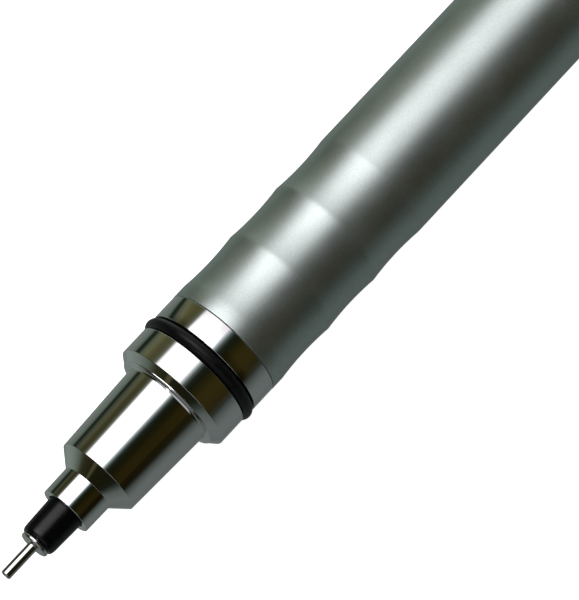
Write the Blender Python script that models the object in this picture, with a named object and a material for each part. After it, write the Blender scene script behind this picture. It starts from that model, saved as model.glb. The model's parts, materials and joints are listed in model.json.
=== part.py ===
"""Drafting pencil with a self-turning lead, lying on its side as it does on a desk.

The pencil's axis runs along X, with the lead pipe's end at -X and the push button at +X. It lies on its
O-ring, its rear collar and the edge of its clip, on the plane z = 0. The world origin is under the middle
of its bounding box. Every size below is in millimetres, and every place along the axis is a distance from
the lead pipe's end towards the button. MM turns them into Blender's metres.
"""
import math

import bmesh
import bpy
from mathutils import Matrix, Vector

MM = 0.001

# Overall sizes
LENGTH = 144.0                  # pipe's end to the button's flat end
BARREL_D = 10.9                 # grip's crests and straight barrel
BARREL_WALL = 1.25              # grip, window and rear barrel

# Clearances
FACE_GAP = 0.05                 # between two faces that rest on each other
FIT_GAP = 0.05                  # radial, pressed or screwed pieces
RUN_GAP = 0.1                   # radial, pieces that slide or turn
LEAD_GAP = 0.03                 # radial, around the lead

# Travels
BUTTON_TRAVEL = 2.3             # button, push rod, lead tube and chuck, forwards
FEED_TRAVEL = 0.6               # chuck ring and lead, forwards, per click
WRITING_TRAVEL = 0.25           # rotor, rearwards, under writing pressure
SLIDER_TRAVEL = 2.8             # slider with its pipe, rearwards
BUTTON_PLAY = 0.35              # between the lead tube's end and the push rod's shoulder

# Lead and lead pipe
LEAD_R = 0.25
LEAD_LENGTH = 60.0
LEAD_RECESS = 0.15              # lead's end, inside the pipe's end
PIPE_WALL = 0.18
PIPE_FREE = 3.27                # in front of the flange
PIPE_TAIL = 3.4                 # behind the flange, inside the slider
PIPE_EDGE = 0.1                 # rounding of the pipe's end
FLANGE_R = 1.315
FLANGE_T = 0.4
FLANGE_EDGE = 0.15

# Slider and lead retainer
SLIDER_FREE = 3.39              # in front of the nose
SLIDER_FRONT_R = 1.435
SLIDER_SHOULDER_R = 1.565
SLIDER_SHOULDER_LENGTH = 0.6
SLIDER_ROUND_START = 0.24       # along the shoulder, where its rounding begins
SLIDER_ROUND_DEPTH = 0.03
SLIDER_MOUTH_R = 1.655
SLIDER_FLANGE_R = 2.6
SLIDER_FLANGE_T = 0.9
SLIDER_TAIL_LENGTH = 6.85
SLIDER_TAIL_WALL = 0.7
LEAD_PASSAGE_R = 0.4
RETAINER_LENGTH = 3.0
RETAINER_MOUTH = 0.4            # length of the retainer's funnels
RETAINER_MOUTH_R = 0.8          # rear funnel's wide end

# Nose cone and O-ring
NOSE_RIM_R = 2.275
NOSE_TIP_R = 2.305
NOSE_TIP_LENGTH = 2.61
NOSE_CONE_R = 3.72
NOSE_CONE_LENGTH = 1.28
NOSE_TAPER_R = 4.02
NOSE_TAPER_LENGTH = 8.2
NOSE_STEP_HEIGHT = 0.7          # radial, flat face behind the taper
NOSE_FILLET = 0.12              # hollow corner between the taper and that face
NOSE_SHOULDER_LENGTH = 0.6      # chamfer from the flat face's edge to the band
NOSE_EDGE = 0.06
NOSE_MOUTH_LENGTH = 4.1
NOSE_TAIL_LENGTH = 6.8          # screwed part, inside the grip
BAND_LENGTH = 6.12              # wide band with the O-ring's groove
BAND_FRONT_DROP = 0.075         # band's front edge, under the grip's crests
BAND_REAR_DROP = 0.015
GROOVE_START = 2.55             # from the band's front edge
O_RING_WIRE = 1.2
O_RING_PROUD = 0.2

# Grip
GRIP_LAND = 1.27                # straight land in front of the first scallop
SCALLOPS = 3
SCALLOP_PITCH = 5.62
SCALLOP_DEPTH = 0.15
SCALLOP_STEPS = 5

# Rotor sleeve, chuck and chuck ring
SLEEVE_WALL = 0.55
SLEEVE_OVERLAP = 3.0            # of the sleeve over the slider's tail
SLEEVE_STEP_LENGTH = 1.5
SLEEVE_ROOM = 0.45              # radial, around the turning sleeve
RING_STOP_LENGTH = 3.0
RING_STOP_BEHIND_SLIDER = 0.8   # from the pushed-in slider's end
CHUCK_HEAD_R = 1.5
CHUCK_NOSE_R = 1.2
CHUCK_NECK_R = 1.0
CHUCK_HEAD_LENGTH = 2.0
CHUCK_CONE_LENGTH = 1.6
CHUCK_NOSE_LENGTH = 0.5
CHUCK_BEHIND_SLIDER = 0.3       # gap left with the slider in and the chuck out
CHUCK_SLOT_W = 0.14
CHUCK_SLOT_LENGTH = 6.6
CHUCK_JAWS = 3
CHUCK_LENGTH = 22.6
CHUCK_RING_LENGTH = 2.2
CHUCK_SPRING_LENGTH = 13.9
CHUCK_SPRING_WIRE_R = 0.18
CHUCK_SPRING_TURNS = 10

# Connector and lead tube
CONNECTOR_FLANGE_T = 1.2
CONNECTOR_LENGTH = 9.0
CONNECTOR_PASSAGE_R = 0.5
CONNECTOR_FUNNEL_LENGTH = 2.0
CONNECTOR_FUNNEL_EDGE = 0.2     # wall left at the funnel's wide end
LEAD_TUBE_R = 1.75
LEAD_TUBE_WALL = 0.3
LEAD_TUBE_ROOM = 0.35           # radial, inside the rotor and its sleeve
SPARE_LEADS = 2
SPARE_LEAD_START = 2.0          # behind the connector

# Turning mechanism
ROTOR_DISC_START = 72.0
ROTOR_DISC_T = 2.0
ROTOR_SPIGOT_LENGTH = 4.0
ROTOR_SPIGOT_WALL = 0.25
ROTOR_TAIL_LENGTH = 4.2         # behind the disc
ROTOR_RIM_GAP = 0.2             # radial, inside the cam housing
INDEX_NOTCH_W = 0.9
INDEX_NOTCH_DEPTH = 0.3
TEETH = 40
TOOTH_H = 0.3
TOOTH_GAP = 0.05                # between facing tooth tips at the end of a stroke
TOOTH_PHASE = 0.25              # of a pitch, which keeps the teeth off the tube's own edges
CAM_BODY_LENGTH = 2.1
HOUSING_WALL = 0.5
HOUSING_FRONT_T = 1.2
LOWER_CAM_LENGTH = 3.7
CANCELLER_T = 1.0
CUSHION_SPRING_LENGTH = 6.95
CUSHION_SPRING_WIRE_R = 0.17
CUSHION_SPRING_TURNS = 5
SPRING_SEAT_T = 2.5
HOUSING_REAR_LENGTH = 1.2       # behind the spring seat
WINDOW_LENGTH = 6.4
WINDOW_RECESS = 0.06

# Rear barrel, collar and push button
BARREL_STEP_T = 1.5             # ring inside the rear barrel, under the button's spring
BARREL_STEP_ROOM = 0.7          # radial, around the lead tube
BUTTON_SPRING_LENGTH = 16.8
BUTTON_SPRING_WIRE_R = 0.22
BUTTON_SPRING_TURNS = 9
COLLAR_LENGTH = 9.4
COLLAR_SPIGOT_LENGTH = 5.6
COLLAR_EDGE = 0.25
COLLAR_DOME_LENGTH = 3.6
COLLAR_END_R = 4.4
ROD_R = 2.9
ROD_FLANGE_R = 3.6
ROD_FLANGE_T = 1.5
ROD_SHOULDER = 5.9              # from the flange's front to the shoulder on the lead tube
ROD_PASSAGE_R = 1.25
ERASER_WALL = 0.7
ERASER_SEAT = 7.05              # depth of the eraser's seat
ERASER_LENGTH = 10.3
ERASER_EDGE = 0.3
CAP_LENGTH = 10.6
CAP_OVERLAP = 5.1               # of the cap over the push rod
CAP_WALL = 0.8
CAP_END_T = 1.1
CAP_EDGE = 0.5
CAP_FRONT_EDGE = 0.2
CAP_COLLAR_GAP = 0.1            # left between cap and collar with the button pressed

# Clip
CLIP_T = 0.75
CLIP_W = 4.4
CLIP_TIP_W = 3.4
CLIP_LENGTH = 38.0
CLIP_TAB_R = 5.0                # hinge axis, from the pencil's axis
CLIP_TAB_DEPTH = 0.25           # tab's end, under the hinge axis
CLIP_TAB_FROM_FRONT = 3.4       # from the collar's front face
CLIP_ARM_R = 8.2                # middle of the arm above the collar
CLIP_BEND_R = 1.3
CLIP_FOOT_LENGTH = 3.4          # curved foot at the clip's tip
CLIP_FOOT_LIFT = 0.75           # how far the foot's ends stand over its middle
CLIP_BARREL_GAP = 0.06
CLIP_SLOT_GAP = 0.12
CLIP_BEVEL = 0.12

# Roundness of the turned pieces
OUTER_SEGMENTS = 40
INNER_SEGMENTS = 24
LEAD_SEGMENTS = 12
WIRE_SIDES = 5
WIRE_STEPS_PER_TURN = 10
ARC_STEPS = 4
EDGE_STEPS = 2                  # across a small rounded edge or corner
O_RING_STEPS = 8                # around its own section
SMOOTH_ANGLE = 30               # degrees between faces, above which an edge stays sharp
BEVEL_ANGLE = 60                # degrees, above which the clip's edges are bevelled
MERGE_DISTANCE = 0.0001
CUT_OVERRUN = 1.0               # how far a cutter reaches past what it cuts
CLOSED_TURN = 1.05              # pitch of a spring's end turns, in wire thicknesses

# Radii that follow from the sizes above
barrel_r = BARREL_D / 2
bore_r = barrel_r - BARREL_WALL
insert_r = bore_r - FIT_GAP
pipe_bore_r = LEAD_R + LEAD_GAP
pipe_r = pipe_bore_r + PIPE_WALL
slider_bore_r = pipe_r + FIT_GAP
mouth_r = SLIDER_MOUTH_R + RUN_GAP
sleeve_bore_r = LEAD_TUBE_R + LEAD_TUBE_ROOM
slider_tail_r = sleeve_bore_r - RUN_GAP
retainer_seat_r = slider_tail_r - SLIDER_TAIL_WALL
sleeve_r = sleeve_bore_r + SLEEVE_WALL
cavity_r = sleeve_r + SLEEVE_ROOM
tube_bore_r = LEAD_TUBE_R - LEAD_TUBE_WALL
housing_bore_r = insert_r - HOUSING_WALL
cam_r = housing_bore_r - FIT_GAP
cam_bore_r = sleeve_r + RUN_GAP
rotor_rim_r = housing_bore_r - ROTOR_RIM_GAP
canceller_bore_r = LEAD_TUBE_R + 2 * RUN_GAP
rest_r = barrel_r - BAND_REAR_DROP + O_RING_PROUD
cap_r = ROD_R + FIT_GAP + CAP_WALL
eraser_seat_r = ROD_R - ERASER_WALL

# Places along the axis that follow from the sizes above
flange_start = PIPE_FREE
slider_start = flange_start + FLANGE_T + FACE_GAP
nose_start = slider_start + SLIDER_FREE
cone_start = nose_start + NOSE_TIP_LENGTH
taper_start = cone_start + NOSE_CONE_LENGTH
shoulder_start = taper_start + NOSE_TAPER_LENGTH
band_start = shoulder_start + NOSE_FILLET + NOSE_SHOULDER_LENGTH
band_end = band_start + BAND_LENGTH
o_ring_middle = band_start + GROOVE_START + O_RING_WIRE / 2 + FACE_GAP
nose_end = band_end + NOSE_TAIL_LENGTH
cavity_start = nose_start + NOSE_MOUTH_LENGTH
slider_flange_start = cavity_start + FACE_GAP
slider_flange_end = slider_flange_start + SLIDER_FLANGE_T
slider_end = slider_flange_end + SLIDER_TAIL_LENGTH
retainer_start = slider_flange_end + RETAINER_MOUTH
sleeve_start = slider_end - SLEEVE_OVERLAP
ring_stop_start = slider_end + SLIDER_TRAVEL + RING_STOP_BEHIND_SLIDER
chuck_ring_start = ring_stop_start + RING_STOP_LENGTH + FEED_TRAVEL + FACE_GAP
sleeve_step_start = chuck_ring_start + CHUCK_RING_LENGTH + FACE_GAP
chuck_start = slider_end + SLIDER_TRAVEL + CHUCK_BEHIND_SLIDER + BUTTON_TRAVEL
chuck_spring_start = sleeve_step_start + SLEEVE_STEP_LENGTH + FACE_GAP
connector_start = chuck_spring_start + CHUCK_SPRING_LENGTH + FACE_GAP
connector_end = connector_start + CONNECTOR_LENGTH
lead_tube_start = connector_start + CONNECTOR_FLANGE_T + FACE_GAP
grip_start = band_end + FACE_GAP
scallops_start = grip_start + GRIP_LAND
rotor_disc_end = ROTOR_DISC_START + ROTOR_DISC_T
lower_cam_end = ROTOR_DISC_START - 2 * TOOTH_H - TOOTH_GAP
lower_cam_start = lower_cam_end - LOWER_CAM_LENGTH
housing_start = lower_cam_start - FACE_GAP - HOUSING_FRONT_T
sleeve_end = housing_start - HOUSING_FRONT_T
upper_cam_start = rotor_disc_end + 2 * TOOTH_H + TOOTH_GAP + WRITING_TRAVEL
upper_cam_end = upper_cam_start + CAM_BODY_LENGTH
rotor_end = rotor_disc_end + ROTOR_TAIL_LENGTH
canceller_start = rotor_end + FACE_GAP
cushion_start = canceller_start + CANCELLER_T + FACE_GAP
spring_seat_start = cushion_start + CUSHION_SPRING_LENGTH + FACE_GAP
housing_end = spring_seat_start + SPRING_SEAT_T + HOUSING_REAR_LENGTH
window_start = (ROTOR_DISC_START + rotor_disc_end - WINDOW_LENGTH) / 2
window_end = window_start + WINDOW_LENGTH
cap_start = LENGTH - CAP_LENGTH
collar_end = cap_start - BUTTON_TRAVEL - CAP_COLLAR_GAP
collar_start = collar_end - COLLAR_LENGTH
spigot_start = collar_start - COLLAR_SPIGOT_LENGTH
rod_flange_end = spigot_start - FACE_GAP
rod_start = rod_flange_end - ROD_FLANGE_T
rod_shoulder = rod_start + ROD_SHOULDER
rod_end = cap_start + CAP_OVERLAP
lead_tube_end = rod_shoulder - BUTTON_PLAY
button_spring_start = rod_start - FACE_GAP - BUTTON_SPRING_LENGTH
barrel_step_end = button_spring_start - FACE_GAP
eraser_start = rod_end - ERASER_SEAT + FACE_GAP
clip_hinge = collar_start + CLIP_TAB_FROM_FRONT

# The clip's outer edge touches the surface that the O-ring and the collar lie on
clip_outer_r = CLIP_ARM_R + CLIP_T / 2
clip_corner_r = math.hypot(clip_outer_r, CLIP_W / 2)
clip_lean = math.acos(rest_r / clip_corner_r) + math.atan2(CLIP_W / 2, clip_outer_r)
clip_roll = math.pi - clip_lean


def clear_scene():
    """Empty the file of everything that it opened with."""
    for thing in list(bpy.data.objects):
        bpy.data.objects.remove(thing, do_unlink=True)


def material(name, color, roughness, metallic, alpha=1.0):
    """A plain Principled material."""
    made = bpy.data.materials.new(name)
    made.use_nodes = True
    shader = made.node_tree.nodes["Principled BSDF"]
    shader.inputs["Base Color"].default_value = (*color, 1.0)
    shader.inputs["Roughness"].default_value = roughness
    shader.inputs["Metallic"].default_value = metallic
    shader.inputs["Alpha"].default_value = alpha
    made.diffuse_color = (*color, alpha)
    return made


def chrome(name):
    return material(name, (0.74, 0.75, 0.76), 0.08, 1.0)


def satin_aluminium(name):
    return material(name, (0.56, 0.59, 0.57), 0.35, 1.0)


def steel(name):
    return material(name, (0.55, 0.56, 0.58), 0.25, 1.0)


def brass(name):
    return material(name, (0.72, 0.55, 0.28), 0.25, 1.0)


def dark_plastic(name):
    return material(name, (0.012, 0.012, 0.014), 0.32, 0.0)


def grey_plastic(name):
    return material(name, (0.42, 0.43, 0.45), 0.45, 0.0)


def pale_plastic(name):
    return material(name, (0.78, 0.79, 0.78), 0.4, 0.0)


def clear_plastic(name):
    return material(name, (0.62, 0.66, 0.68), 0.1, 0.0, alpha=0.35)


def rubber(name):
    return material(name, (0.015, 0.015, 0.015), 0.55, 0.0)


def eraser_white(name):
    return material(name, (0.86, 0.86, 0.84), 0.7, 0.0)


def graphite(name):
    return material(name, (0.06, 0.06, 0.065), 0.35, 0.3)


def frame_empty(name, parent=None, station=0.0, height=0.0):
    """An empty on the pencil's axis, or a height over it, that moving pieces are parented to."""
    made = bpy.data.objects.new(name, None)
    bpy.context.scene.collection.objects.link(made)
    made.parent = parent
    made.location = (station * MM, 0.0, height * MM)
    return made


def place(name, bm, finish, parent, station):
    """Turn a bmesh in millimetres, drawn from its own station, into an object on the pencil's axis."""
    bmesh.ops.recalc_face_normals(bm, faces=bm.faces)
    bmesh.ops.scale(bm, vec=Vector((MM, MM, MM)), verts=bm.verts)
    mesh = bpy.data.meshes.new(name)
    bm.to_mesh(mesh)
    bm.free()
    mesh.shade_smooth()
    mesh.set_sharp_from_angle(angle=math.radians(SMOOTH_ANGLE))
    mesh.materials.append(finish)
    made = bpy.data.objects.new(name, mesh)
    bpy.context.scene.collection.objects.link(made)
    made.parent = parent
    made.location = (station * MM, 0.0, 0.0)
    return made


def turned_bmesh(outline, station, segments, closed):
    """Spin an outline of (place along the axis, radius) about the axis."""
    bm = bmesh.new()
    verts = [bm.verts.new((x - station, 0.0, r)) for x, r in outline]
    edges = [bm.edges.new(pair) for pair in zip(verts, verts[1:])]
    if closed:
        edges.append(bm.edges.new((verts[-1], verts[0])))
    bmesh.ops.spin(bm, geom=verts + edges, cent=(0.0, 0.0, 0.0), axis=(1.0, 0.0, 0.0),
                   angle=2 * math.pi, steps=segments, use_merge=True)
    bmesh.ops.remove_doubles(bm, verts=bm.verts, dist=MERGE_DISTANCE)
    return bm


def turned(name, outer, inner, finish, parent, segments=INNER_SEGMENTS):
    """A turned piece with a bore: outer and inner outlines both run from its front to its rear."""
    station = outer[0][0]
    bm = turned_bmesh(outer + inner[::-1], station, segments, closed=True)
    return place(name, bm, finish, parent, station)


def turned_solid(name, outer, finish, parent, segments=INNER_SEGMENTS):
    """A turned piece with no bore: its outline starts and ends on the axis."""
    station = outer[0][0]
    bm = turned_bmesh(outer, station, segments, closed=False)
    return place(name, bm, finish, parent, station)


def tube(name, start, end, outer_r, inner_r, finish, parent, segments=INNER_SEGMENTS):
    """A plain tube or ring."""
    outer = [(start, outer_r), (end, outer_r)]
    inner = [(start, inner_r), (end, inner_r)]
    return turned(name, outer, inner, finish, parent, segments)


def arc(middle, radius, start_angle, end_angle, steps=ARC_STEPS):
    """Points of an arc in the (station, radius) plane, angles in degrees from +station towards +radius."""
    points = []
    for step in range(steps + 1):
        angle = math.radians(start_angle + (end_angle - start_angle) * step / steps)
        points.append((middle[0] + radius * math.cos(angle), middle[1] + radius * math.sin(angle)))
    return points


def coil_spring(name, start, length, middle_r, wire_r, turns, finish, parent):
    """A compression spring whose first and last turns lie closed against their seats."""
    steps = turns * WIRE_STEPS_PER_TURN
    dead = 2 * wire_r * CLOSED_TURN
    open_pitch = (length - 2 * wire_r - 2 * dead) / (turns - 2)
    bm = bmesh.new()
    rings = []
    for step in range(steps + 1):
        turn = step / WIRE_STEPS_PER_TURN
        advance = dead * min(turn, 1.0)
        advance += open_pitch * min(max(turn - 1.0, 0.0), turns - 2.0)
        advance += dead * max(turn - (turns - 1.0), 0.0)
        angle = 2 * math.pi * turn
        outward = Vector((0.0, math.cos(angle), math.sin(angle)))
        centre = Vector((wire_r + advance, 0.0, 0.0)) + outward * middle_r
        ring = []
        for side in range(WIRE_SIDES):
            lean = 2 * math.pi * side / WIRE_SIDES
            offset = outward * math.cos(lean) + Vector((1.0, 0.0, 0.0)) * math.sin(lean)
            ring.append(bm.verts.new(centre + offset * wire_r))
        rings.append(ring)
    for ring, after in zip(rings, rings[1:]):
        for side in range(WIRE_SIDES):
            other = (side + 1) % WIRE_SIDES
            bm.faces.new((ring[side], ring[other], after[other], after[side]))
    bm.faces.new(rings[0])
    bm.faces.new(rings[-1][::-1])
    return place(name, bm, finish, parent, start)


def toothed_ring(outer_r, inner_r, front, rear, front_teeth, rear_teeth, rising, phase):
    """A ring with saw teeth standing on its front face, its rear face or both.

    A rising tooth grows with the angle about +X up to its steep side, and a falling one starts at it.
    """
    bm = bmesh.new()
    pitch = 2 * math.pi / TEETH

    def circle(station, radius):
        verts = []
        for tooth in range(TEETH):
            angle = pitch * (tooth + phase)
            verts.append(bm.verts.new((station - front, radius * math.cos(angle), radius * math.sin(angle))))
        return verts

    def face_with_teeth(station, direction, toothed):
        base_out = circle(station, outer_r)
        base_in = circle(station, inner_r)
        if not toothed:
            for tooth in range(TEETH):
                after = (tooth + 1) % TEETH
                bm.faces.new((base_out[tooth], base_out[after], base_in[after], base_in[tooth]))
            return base_out, base_in
        tip_out = circle(station + direction * TOOTH_H, outer_r)
        tip_in = circle(station + direction * TOOTH_H, inner_r)
        for tooth in range(TEETH):
            after = (tooth + 1) % TEETH
            low, high = (tooth, after) if rising else (after, tooth)
            bm.faces.new((base_out[low], tip_out[high], tip_in[high], base_in[low]))
            bm.faces.new((base_out[high], base_in[high], tip_in[high], tip_out[high]))
            bm.faces.new((base_out[low], base_out[high], tip_out[high]))
            bm.faces.new((base_in[low], base_in[high], tip_in[high]))
        return base_out, base_in

    front_out, front_in = face_with_teeth(front, -1, front_teeth)
    rear_out, rear_in = face_with_teeth(rear, 1, rear_teeth)
    for tooth in range(TEETH):
        after = (tooth + 1) % TEETH
        bm.faces.new((front_out[tooth], front_out[after], rear_out[after], rear_out[tooth]))
        bm.faces.new((front_in[tooth], front_in[after], rear_in[after], rear_in[tooth]))
    return bm


def cutter_block(name, low, high, parent, turn=0.0):
    """A block that only cuts: corners in millimetres, turned about the pencil's axis."""
    bm = bmesh.new()
    bmesh.ops.create_cube(bm, size=1.0)
    size = [b - a for a, b in zip(low, high)]
    middle = [(a + b) / 2 for a, b in zip(low, high)]
    bmesh.ops.scale(bm, vec=Vector(size), verts=bm.verts)
    bmesh.ops.translate(bm, vec=Vector(middle), verts=bm.verts)
    bmesh.ops.rotate(bm, verts=bm.verts, matrix=Matrix.Rotation(turn, 3, "X"))
    made = place(name, bm, cutter_finish, parent, 0.0)
    made.hide_render = True
    made.display_type = "WIRE"
    return made


def combine(target, other, operation):
    """Add a Boolean of another object to a target."""
    modifier = target.modifiers.new(other.name, "BOOLEAN")
    modifier.operation = operation
    modifier.object = other


def make_lead_pipe(parent):
    edge = PIPE_EDGE
    outer = arc((edge, pipe_r - edge), edge, 180, 90, EDGE_STEPS)
    outer += [(flange_start, pipe_r)]
    outer += arc((flange_start + FLANGE_EDGE, FLANGE_R - FLANGE_EDGE), FLANGE_EDGE, 180, 90)
    outer += [(flange_start + FLANGE_T, FLANGE_R), (flange_start + FLANGE_T, pipe_r)]
    outer += [(flange_start + FLANGE_T + PIPE_TAIL, pipe_r)]
    inner = [(0.0, pipe_bore_r), (flange_start + FLANGE_T + PIPE_TAIL, pipe_bore_r)]
    turned("lead_pipe", outer, inner, steel("pipe_steel"), parent)


def make_slider(parent):
    pipe_tail_end = flange_start + FLANGE_T + PIPE_TAIL + FACE_GAP
    outer = [(slider_start, SLIDER_FRONT_R)]
    outer += [(slider_start + SLIDER_ROUND_START, SLIDER_SHOULDER_R - SLIDER_ROUND_DEPTH)]
    outer += [(slider_start + SLIDER_SHOULDER_LENGTH, SLIDER_SHOULDER_R)]
    outer += [(nose_start, SLIDER_MOUTH_R), (slider_flange_start, SLIDER_MOUTH_R)]
    outer += [(slider_flange_start, SLIDER_FLANGE_R), (slider_flange_end, SLIDER_FLANGE_R)]
    outer += [(slider_flange_end, slider_tail_r), (slider_end, slider_tail_r)]
    inner = [(slider_start, slider_bore_r), (pipe_tail_end, slider_bore_r)]
    inner += [(pipe_tail_end, LEAD_PASSAGE_R), (retainer_start - FACE_GAP, LEAD_PASSAGE_R)]
    inner += [(retainer_start - FACE_GAP, retainer_seat_r), (slider_end, retainer_seat_r)]
    turned("slider", outer, inner, dark_plastic("slider_plastic"), parent)


def make_lead_retainer(parent):
    end = retainer_start + RETAINER_LENGTH
    hole = LEAD_R + LEAD_GAP
    outer = [(retainer_start, retainer_seat_r - FIT_GAP), (end, retainer_seat_r - FIT_GAP)]
    inner = [(retainer_start, LEAD_PASSAGE_R), (retainer_start + RETAINER_MOUTH, hole)]
    inner += [(end - RETAINER_MOUTH, hole), (end, RETAINER_MOUTH_R)]
    turned("lead_retainer", outer, inner, rubber("retainer_rubber"), parent)


def make_nose_cone(parent):
    band_front_r = barrel_r - BAND_FRONT_DROP
    band_rear_r = barrel_r - BAND_REAR_DROP
    face_start = shoulder_start + NOSE_FILLET
    fillet_middle = (shoulder_start, NOSE_TAPER_R + NOSE_FILLET)
    groove_r = rest_r - O_RING_WIRE - FIT_GAP
    groove_start = band_start + GROOVE_START
    groove_end = groove_start + O_RING_WIRE + 2 * FACE_GAP
    outer = [(nose_start, NOSE_RIM_R - NOSE_EDGE), (nose_start + NOSE_EDGE, NOSE_RIM_R)]
    outer += [(cone_start, NOSE_TIP_R), (taper_start, NOSE_CONE_R)]
    outer += arc(fillet_middle, NOSE_FILLET, -90, 0, EDGE_STEPS)
    outer += [(face_start, NOSE_TAPER_R + NOSE_STEP_HEIGHT)]
    outer += [(band_start, band_front_r - NOSE_EDGE), (band_start + NOSE_EDGE, band_front_r)]
    outer += [(groove_start, band_front_r), (groove_start, groove_r)]
    outer += [(groove_end, groove_r), (groove_end, band_rear_r)]
    outer += [(band_end, band_rear_r), (band_end, insert_r), (nose_end, insert_r)]
    inner = [(nose_start, mouth_r), (cavity_start, mouth_r)]
    inner += [(cavity_start, cavity_r), (nose_end, cavity_r)]
    turned("nose_cone", outer, inner, chrome("nose_chrome"), parent, OUTER_SEGMENTS)


def make_o_ring(parent):
    wire_r = O_RING_WIRE / 2
    outline = arc((o_ring_middle, rest_r - wire_r), wire_r, 180, -180, O_RING_STEPS)[:-1]
    bm = turned_bmesh(outline, outline[0][0], OUTER_SEGMENTS, closed=True)
    place("nose_o_ring", bm, rubber("o_ring_rubber"), parent, outline[0][0])


def scallop_outline():
    """The grip's outer line: a land, hollows that meet in narrow crests, and the straight barrel."""
    half = SCALLOP_PITCH / 2
    hollow_r = (half * half + SCALLOP_DEPTH * SCALLOP_DEPTH) / (2 * SCALLOP_DEPTH)
    points = [(grip_start, barrel_r), (scallops_start, barrel_r)]
    for hollow in range(SCALLOPS):
        start = scallops_start + hollow * SCALLOP_PITCH
        for step in range(1, SCALLOP_STEPS + 1):
            along = SCALLOP_PITCH * step / SCALLOP_STEPS
            depth = math.sqrt(hollow_r * hollow_r - (along - half) ** 2) - (hollow_r - SCALLOP_DEPTH)
            points.append((start + along, barrel_r - depth))
    points.append((window_start - FACE_GAP, barrel_r))
    return points


def make_grip(parent):
    inner = [(grip_start, bore_r), (window_start - FACE_GAP, bore_r)]
    turned("grip", scallop_outline(), inner, satin_aluminium("grip_aluminium"), parent, OUTER_SEGMENTS)


def make_inner_sleeve(parent):
    tube("inner_sleeve", nose_end + FACE_GAP, housing_start - FACE_GAP, insert_r, cavity_r,
         grey_plastic("inner_sleeve_plastic"), parent, OUTER_SEGMENTS)


def make_window(parent):
    tube("window", window_start, window_end, barrel_r - WINDOW_RECESS, bore_r,
         clear_plastic("window_clear"), parent, OUTER_SEGMENTS)


def make_rear_barrel(parent):
    start = window_end + FACE_GAP
    end = collar_start - FACE_GAP
    step_start = barrel_step_end - BARREL_STEP_T
    step_r = LEAD_TUBE_R + BARREL_STEP_ROOM
    outer = [(start, barrel_r), (end, barrel_r)]
    inner = [(start, bore_r), (step_start, bore_r), (step_start, step_r)]
    inner += [(barrel_step_end, step_r), (barrel_step_end, bore_r), (end, bore_r)]
    turned("rear_barrel", outer, inner, satin_aluminium("rear_barrel_aluminium"), parent, OUTER_SEGMENTS)


def make_cam_housing(parent):
    wall_end = housing_start + HOUSING_FRONT_T
    outer = [(housing_start, insert_r), (housing_end, insert_r)]
    inner = [(housing_start, cam_bore_r), (wall_end, cam_bore_r)]
    inner += [(wall_end, housing_bore_r), (housing_end, housing_bore_r)]
    turned("cam_housing", outer, inner, clear_plastic("cam_housing_clear"), parent, OUTER_SEGMENTS)


def make_cams(parent):
    lower = toothed_ring(cam_r, cam_bore_r, lower_cam_start, lower_cam_end, False, True, False, TOOTH_PHASE)
    place("lower_cam", lower, pale_plastic("lower_cam_plastic"), parent, lower_cam_start)
    half_pitch_on = TOOTH_PHASE + 0.5
    upper = toothed_ring(cam_r, cam_bore_r, upper_cam_start, upper_cam_end, True, False, False, half_pitch_on)
    place("upper_cam", upper, pale_plastic("upper_cam_plastic"), parent, upper_cam_start)


def make_rotor(parent):
    """The turning cam: a tube with a rim that carries saw teeth on both faces."""
    spigot_start = sleeve_end - ROTOR_SPIGOT_LENGTH
    spigot_r = sleeve_bore_r + ROTOR_SPIGOT_WALL
    outer = [(spigot_start, spigot_r), (sleeve_end + FACE_GAP, spigot_r)]
    outer += [(sleeve_end + FACE_GAP, sleeve_r), (rotor_end, sleeve_r)]
    inner = [(spigot_start, sleeve_bore_r), (rotor_end, sleeve_bore_r)]
    rotor = turned("rotor", outer, inner, pale_plastic("rotor_plastic"), parent)
    rim_inner_r = sleeve_r - SLEEVE_WALL / 2
    rim = toothed_ring(rotor_rim_r, rim_inner_r, ROTOR_DISC_START, rotor_disc_end,
                       True, True, True, TOOTH_PHASE)
    rim_object = place("rotor_rim_shape", rim, cutter_finish, parent, ROTOR_DISC_START)
    rim_object.hide_render = True
    rim_object.display_type = "WIRE"
    combine(rotor, rim_object, "UNION")
    notch_floor = rotor_rim_r - INDEX_NOTCH_DEPTH
    notch_low = (ROTOR_DISC_START - CUT_OVERRUN, -INDEX_NOTCH_W / 2, notch_floor)
    notch_high = (rotor_disc_end + CUT_OVERRUN, INDEX_NOTCH_W / 2, rotor_rim_r + CUT_OVERRUN)
    combine(rotor, cutter_block("index_notch_cut", notch_low, notch_high, parent), "DIFFERENCE")


def make_rotor_sleeve(parent):
    step_end = sleeve_step_start + SLEEVE_STEP_LENGTH
    step_r = CHUCK_NECK_R + SLEEVE_ROOM
    socket_start = sleeve_end - ROTOR_SPIGOT_LENGTH - FACE_GAP
    socket_r = sleeve_bore_r + ROTOR_SPIGOT_WALL + FIT_GAP
    outer = [(sleeve_start, sleeve_r), (sleeve_end, sleeve_r)]
    inner = [(sleeve_start, sleeve_bore_r), (sleeve_step_start, sleeve_bore_r)]
    inner += [(sleeve_step_start, step_r), (step_end, step_r)]
    inner += [(step_end, sleeve_bore_r), (socket_start, sleeve_bore_r)]
    inner += [(socket_start, socket_r), (sleeve_end, socket_r)]
    turned("rotor_sleeve", outer, inner, grey_plastic("rotor_sleeve_plastic"), parent)


def make_ring_stop(parent):
    tube("ring_stop", ring_stop_start, ring_stop_start + RING_STOP_LENGTH, sleeve_bore_r - FIT_GAP,
         CHUCK_HEAD_R + RUN_GAP, brass("ring_stop_brass"), parent)


def make_torque_canceller(parent):
    """The smooth ring that slides with the rotor but doesn't turn, which spares the spring from winding up."""
    tube("torque_canceller", canceller_start, canceller_start + CANCELLER_T, housing_bore_r - RUN_GAP,
         canceller_bore_r, grey_plastic("torque_canceller_plastic"), parent)


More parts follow.
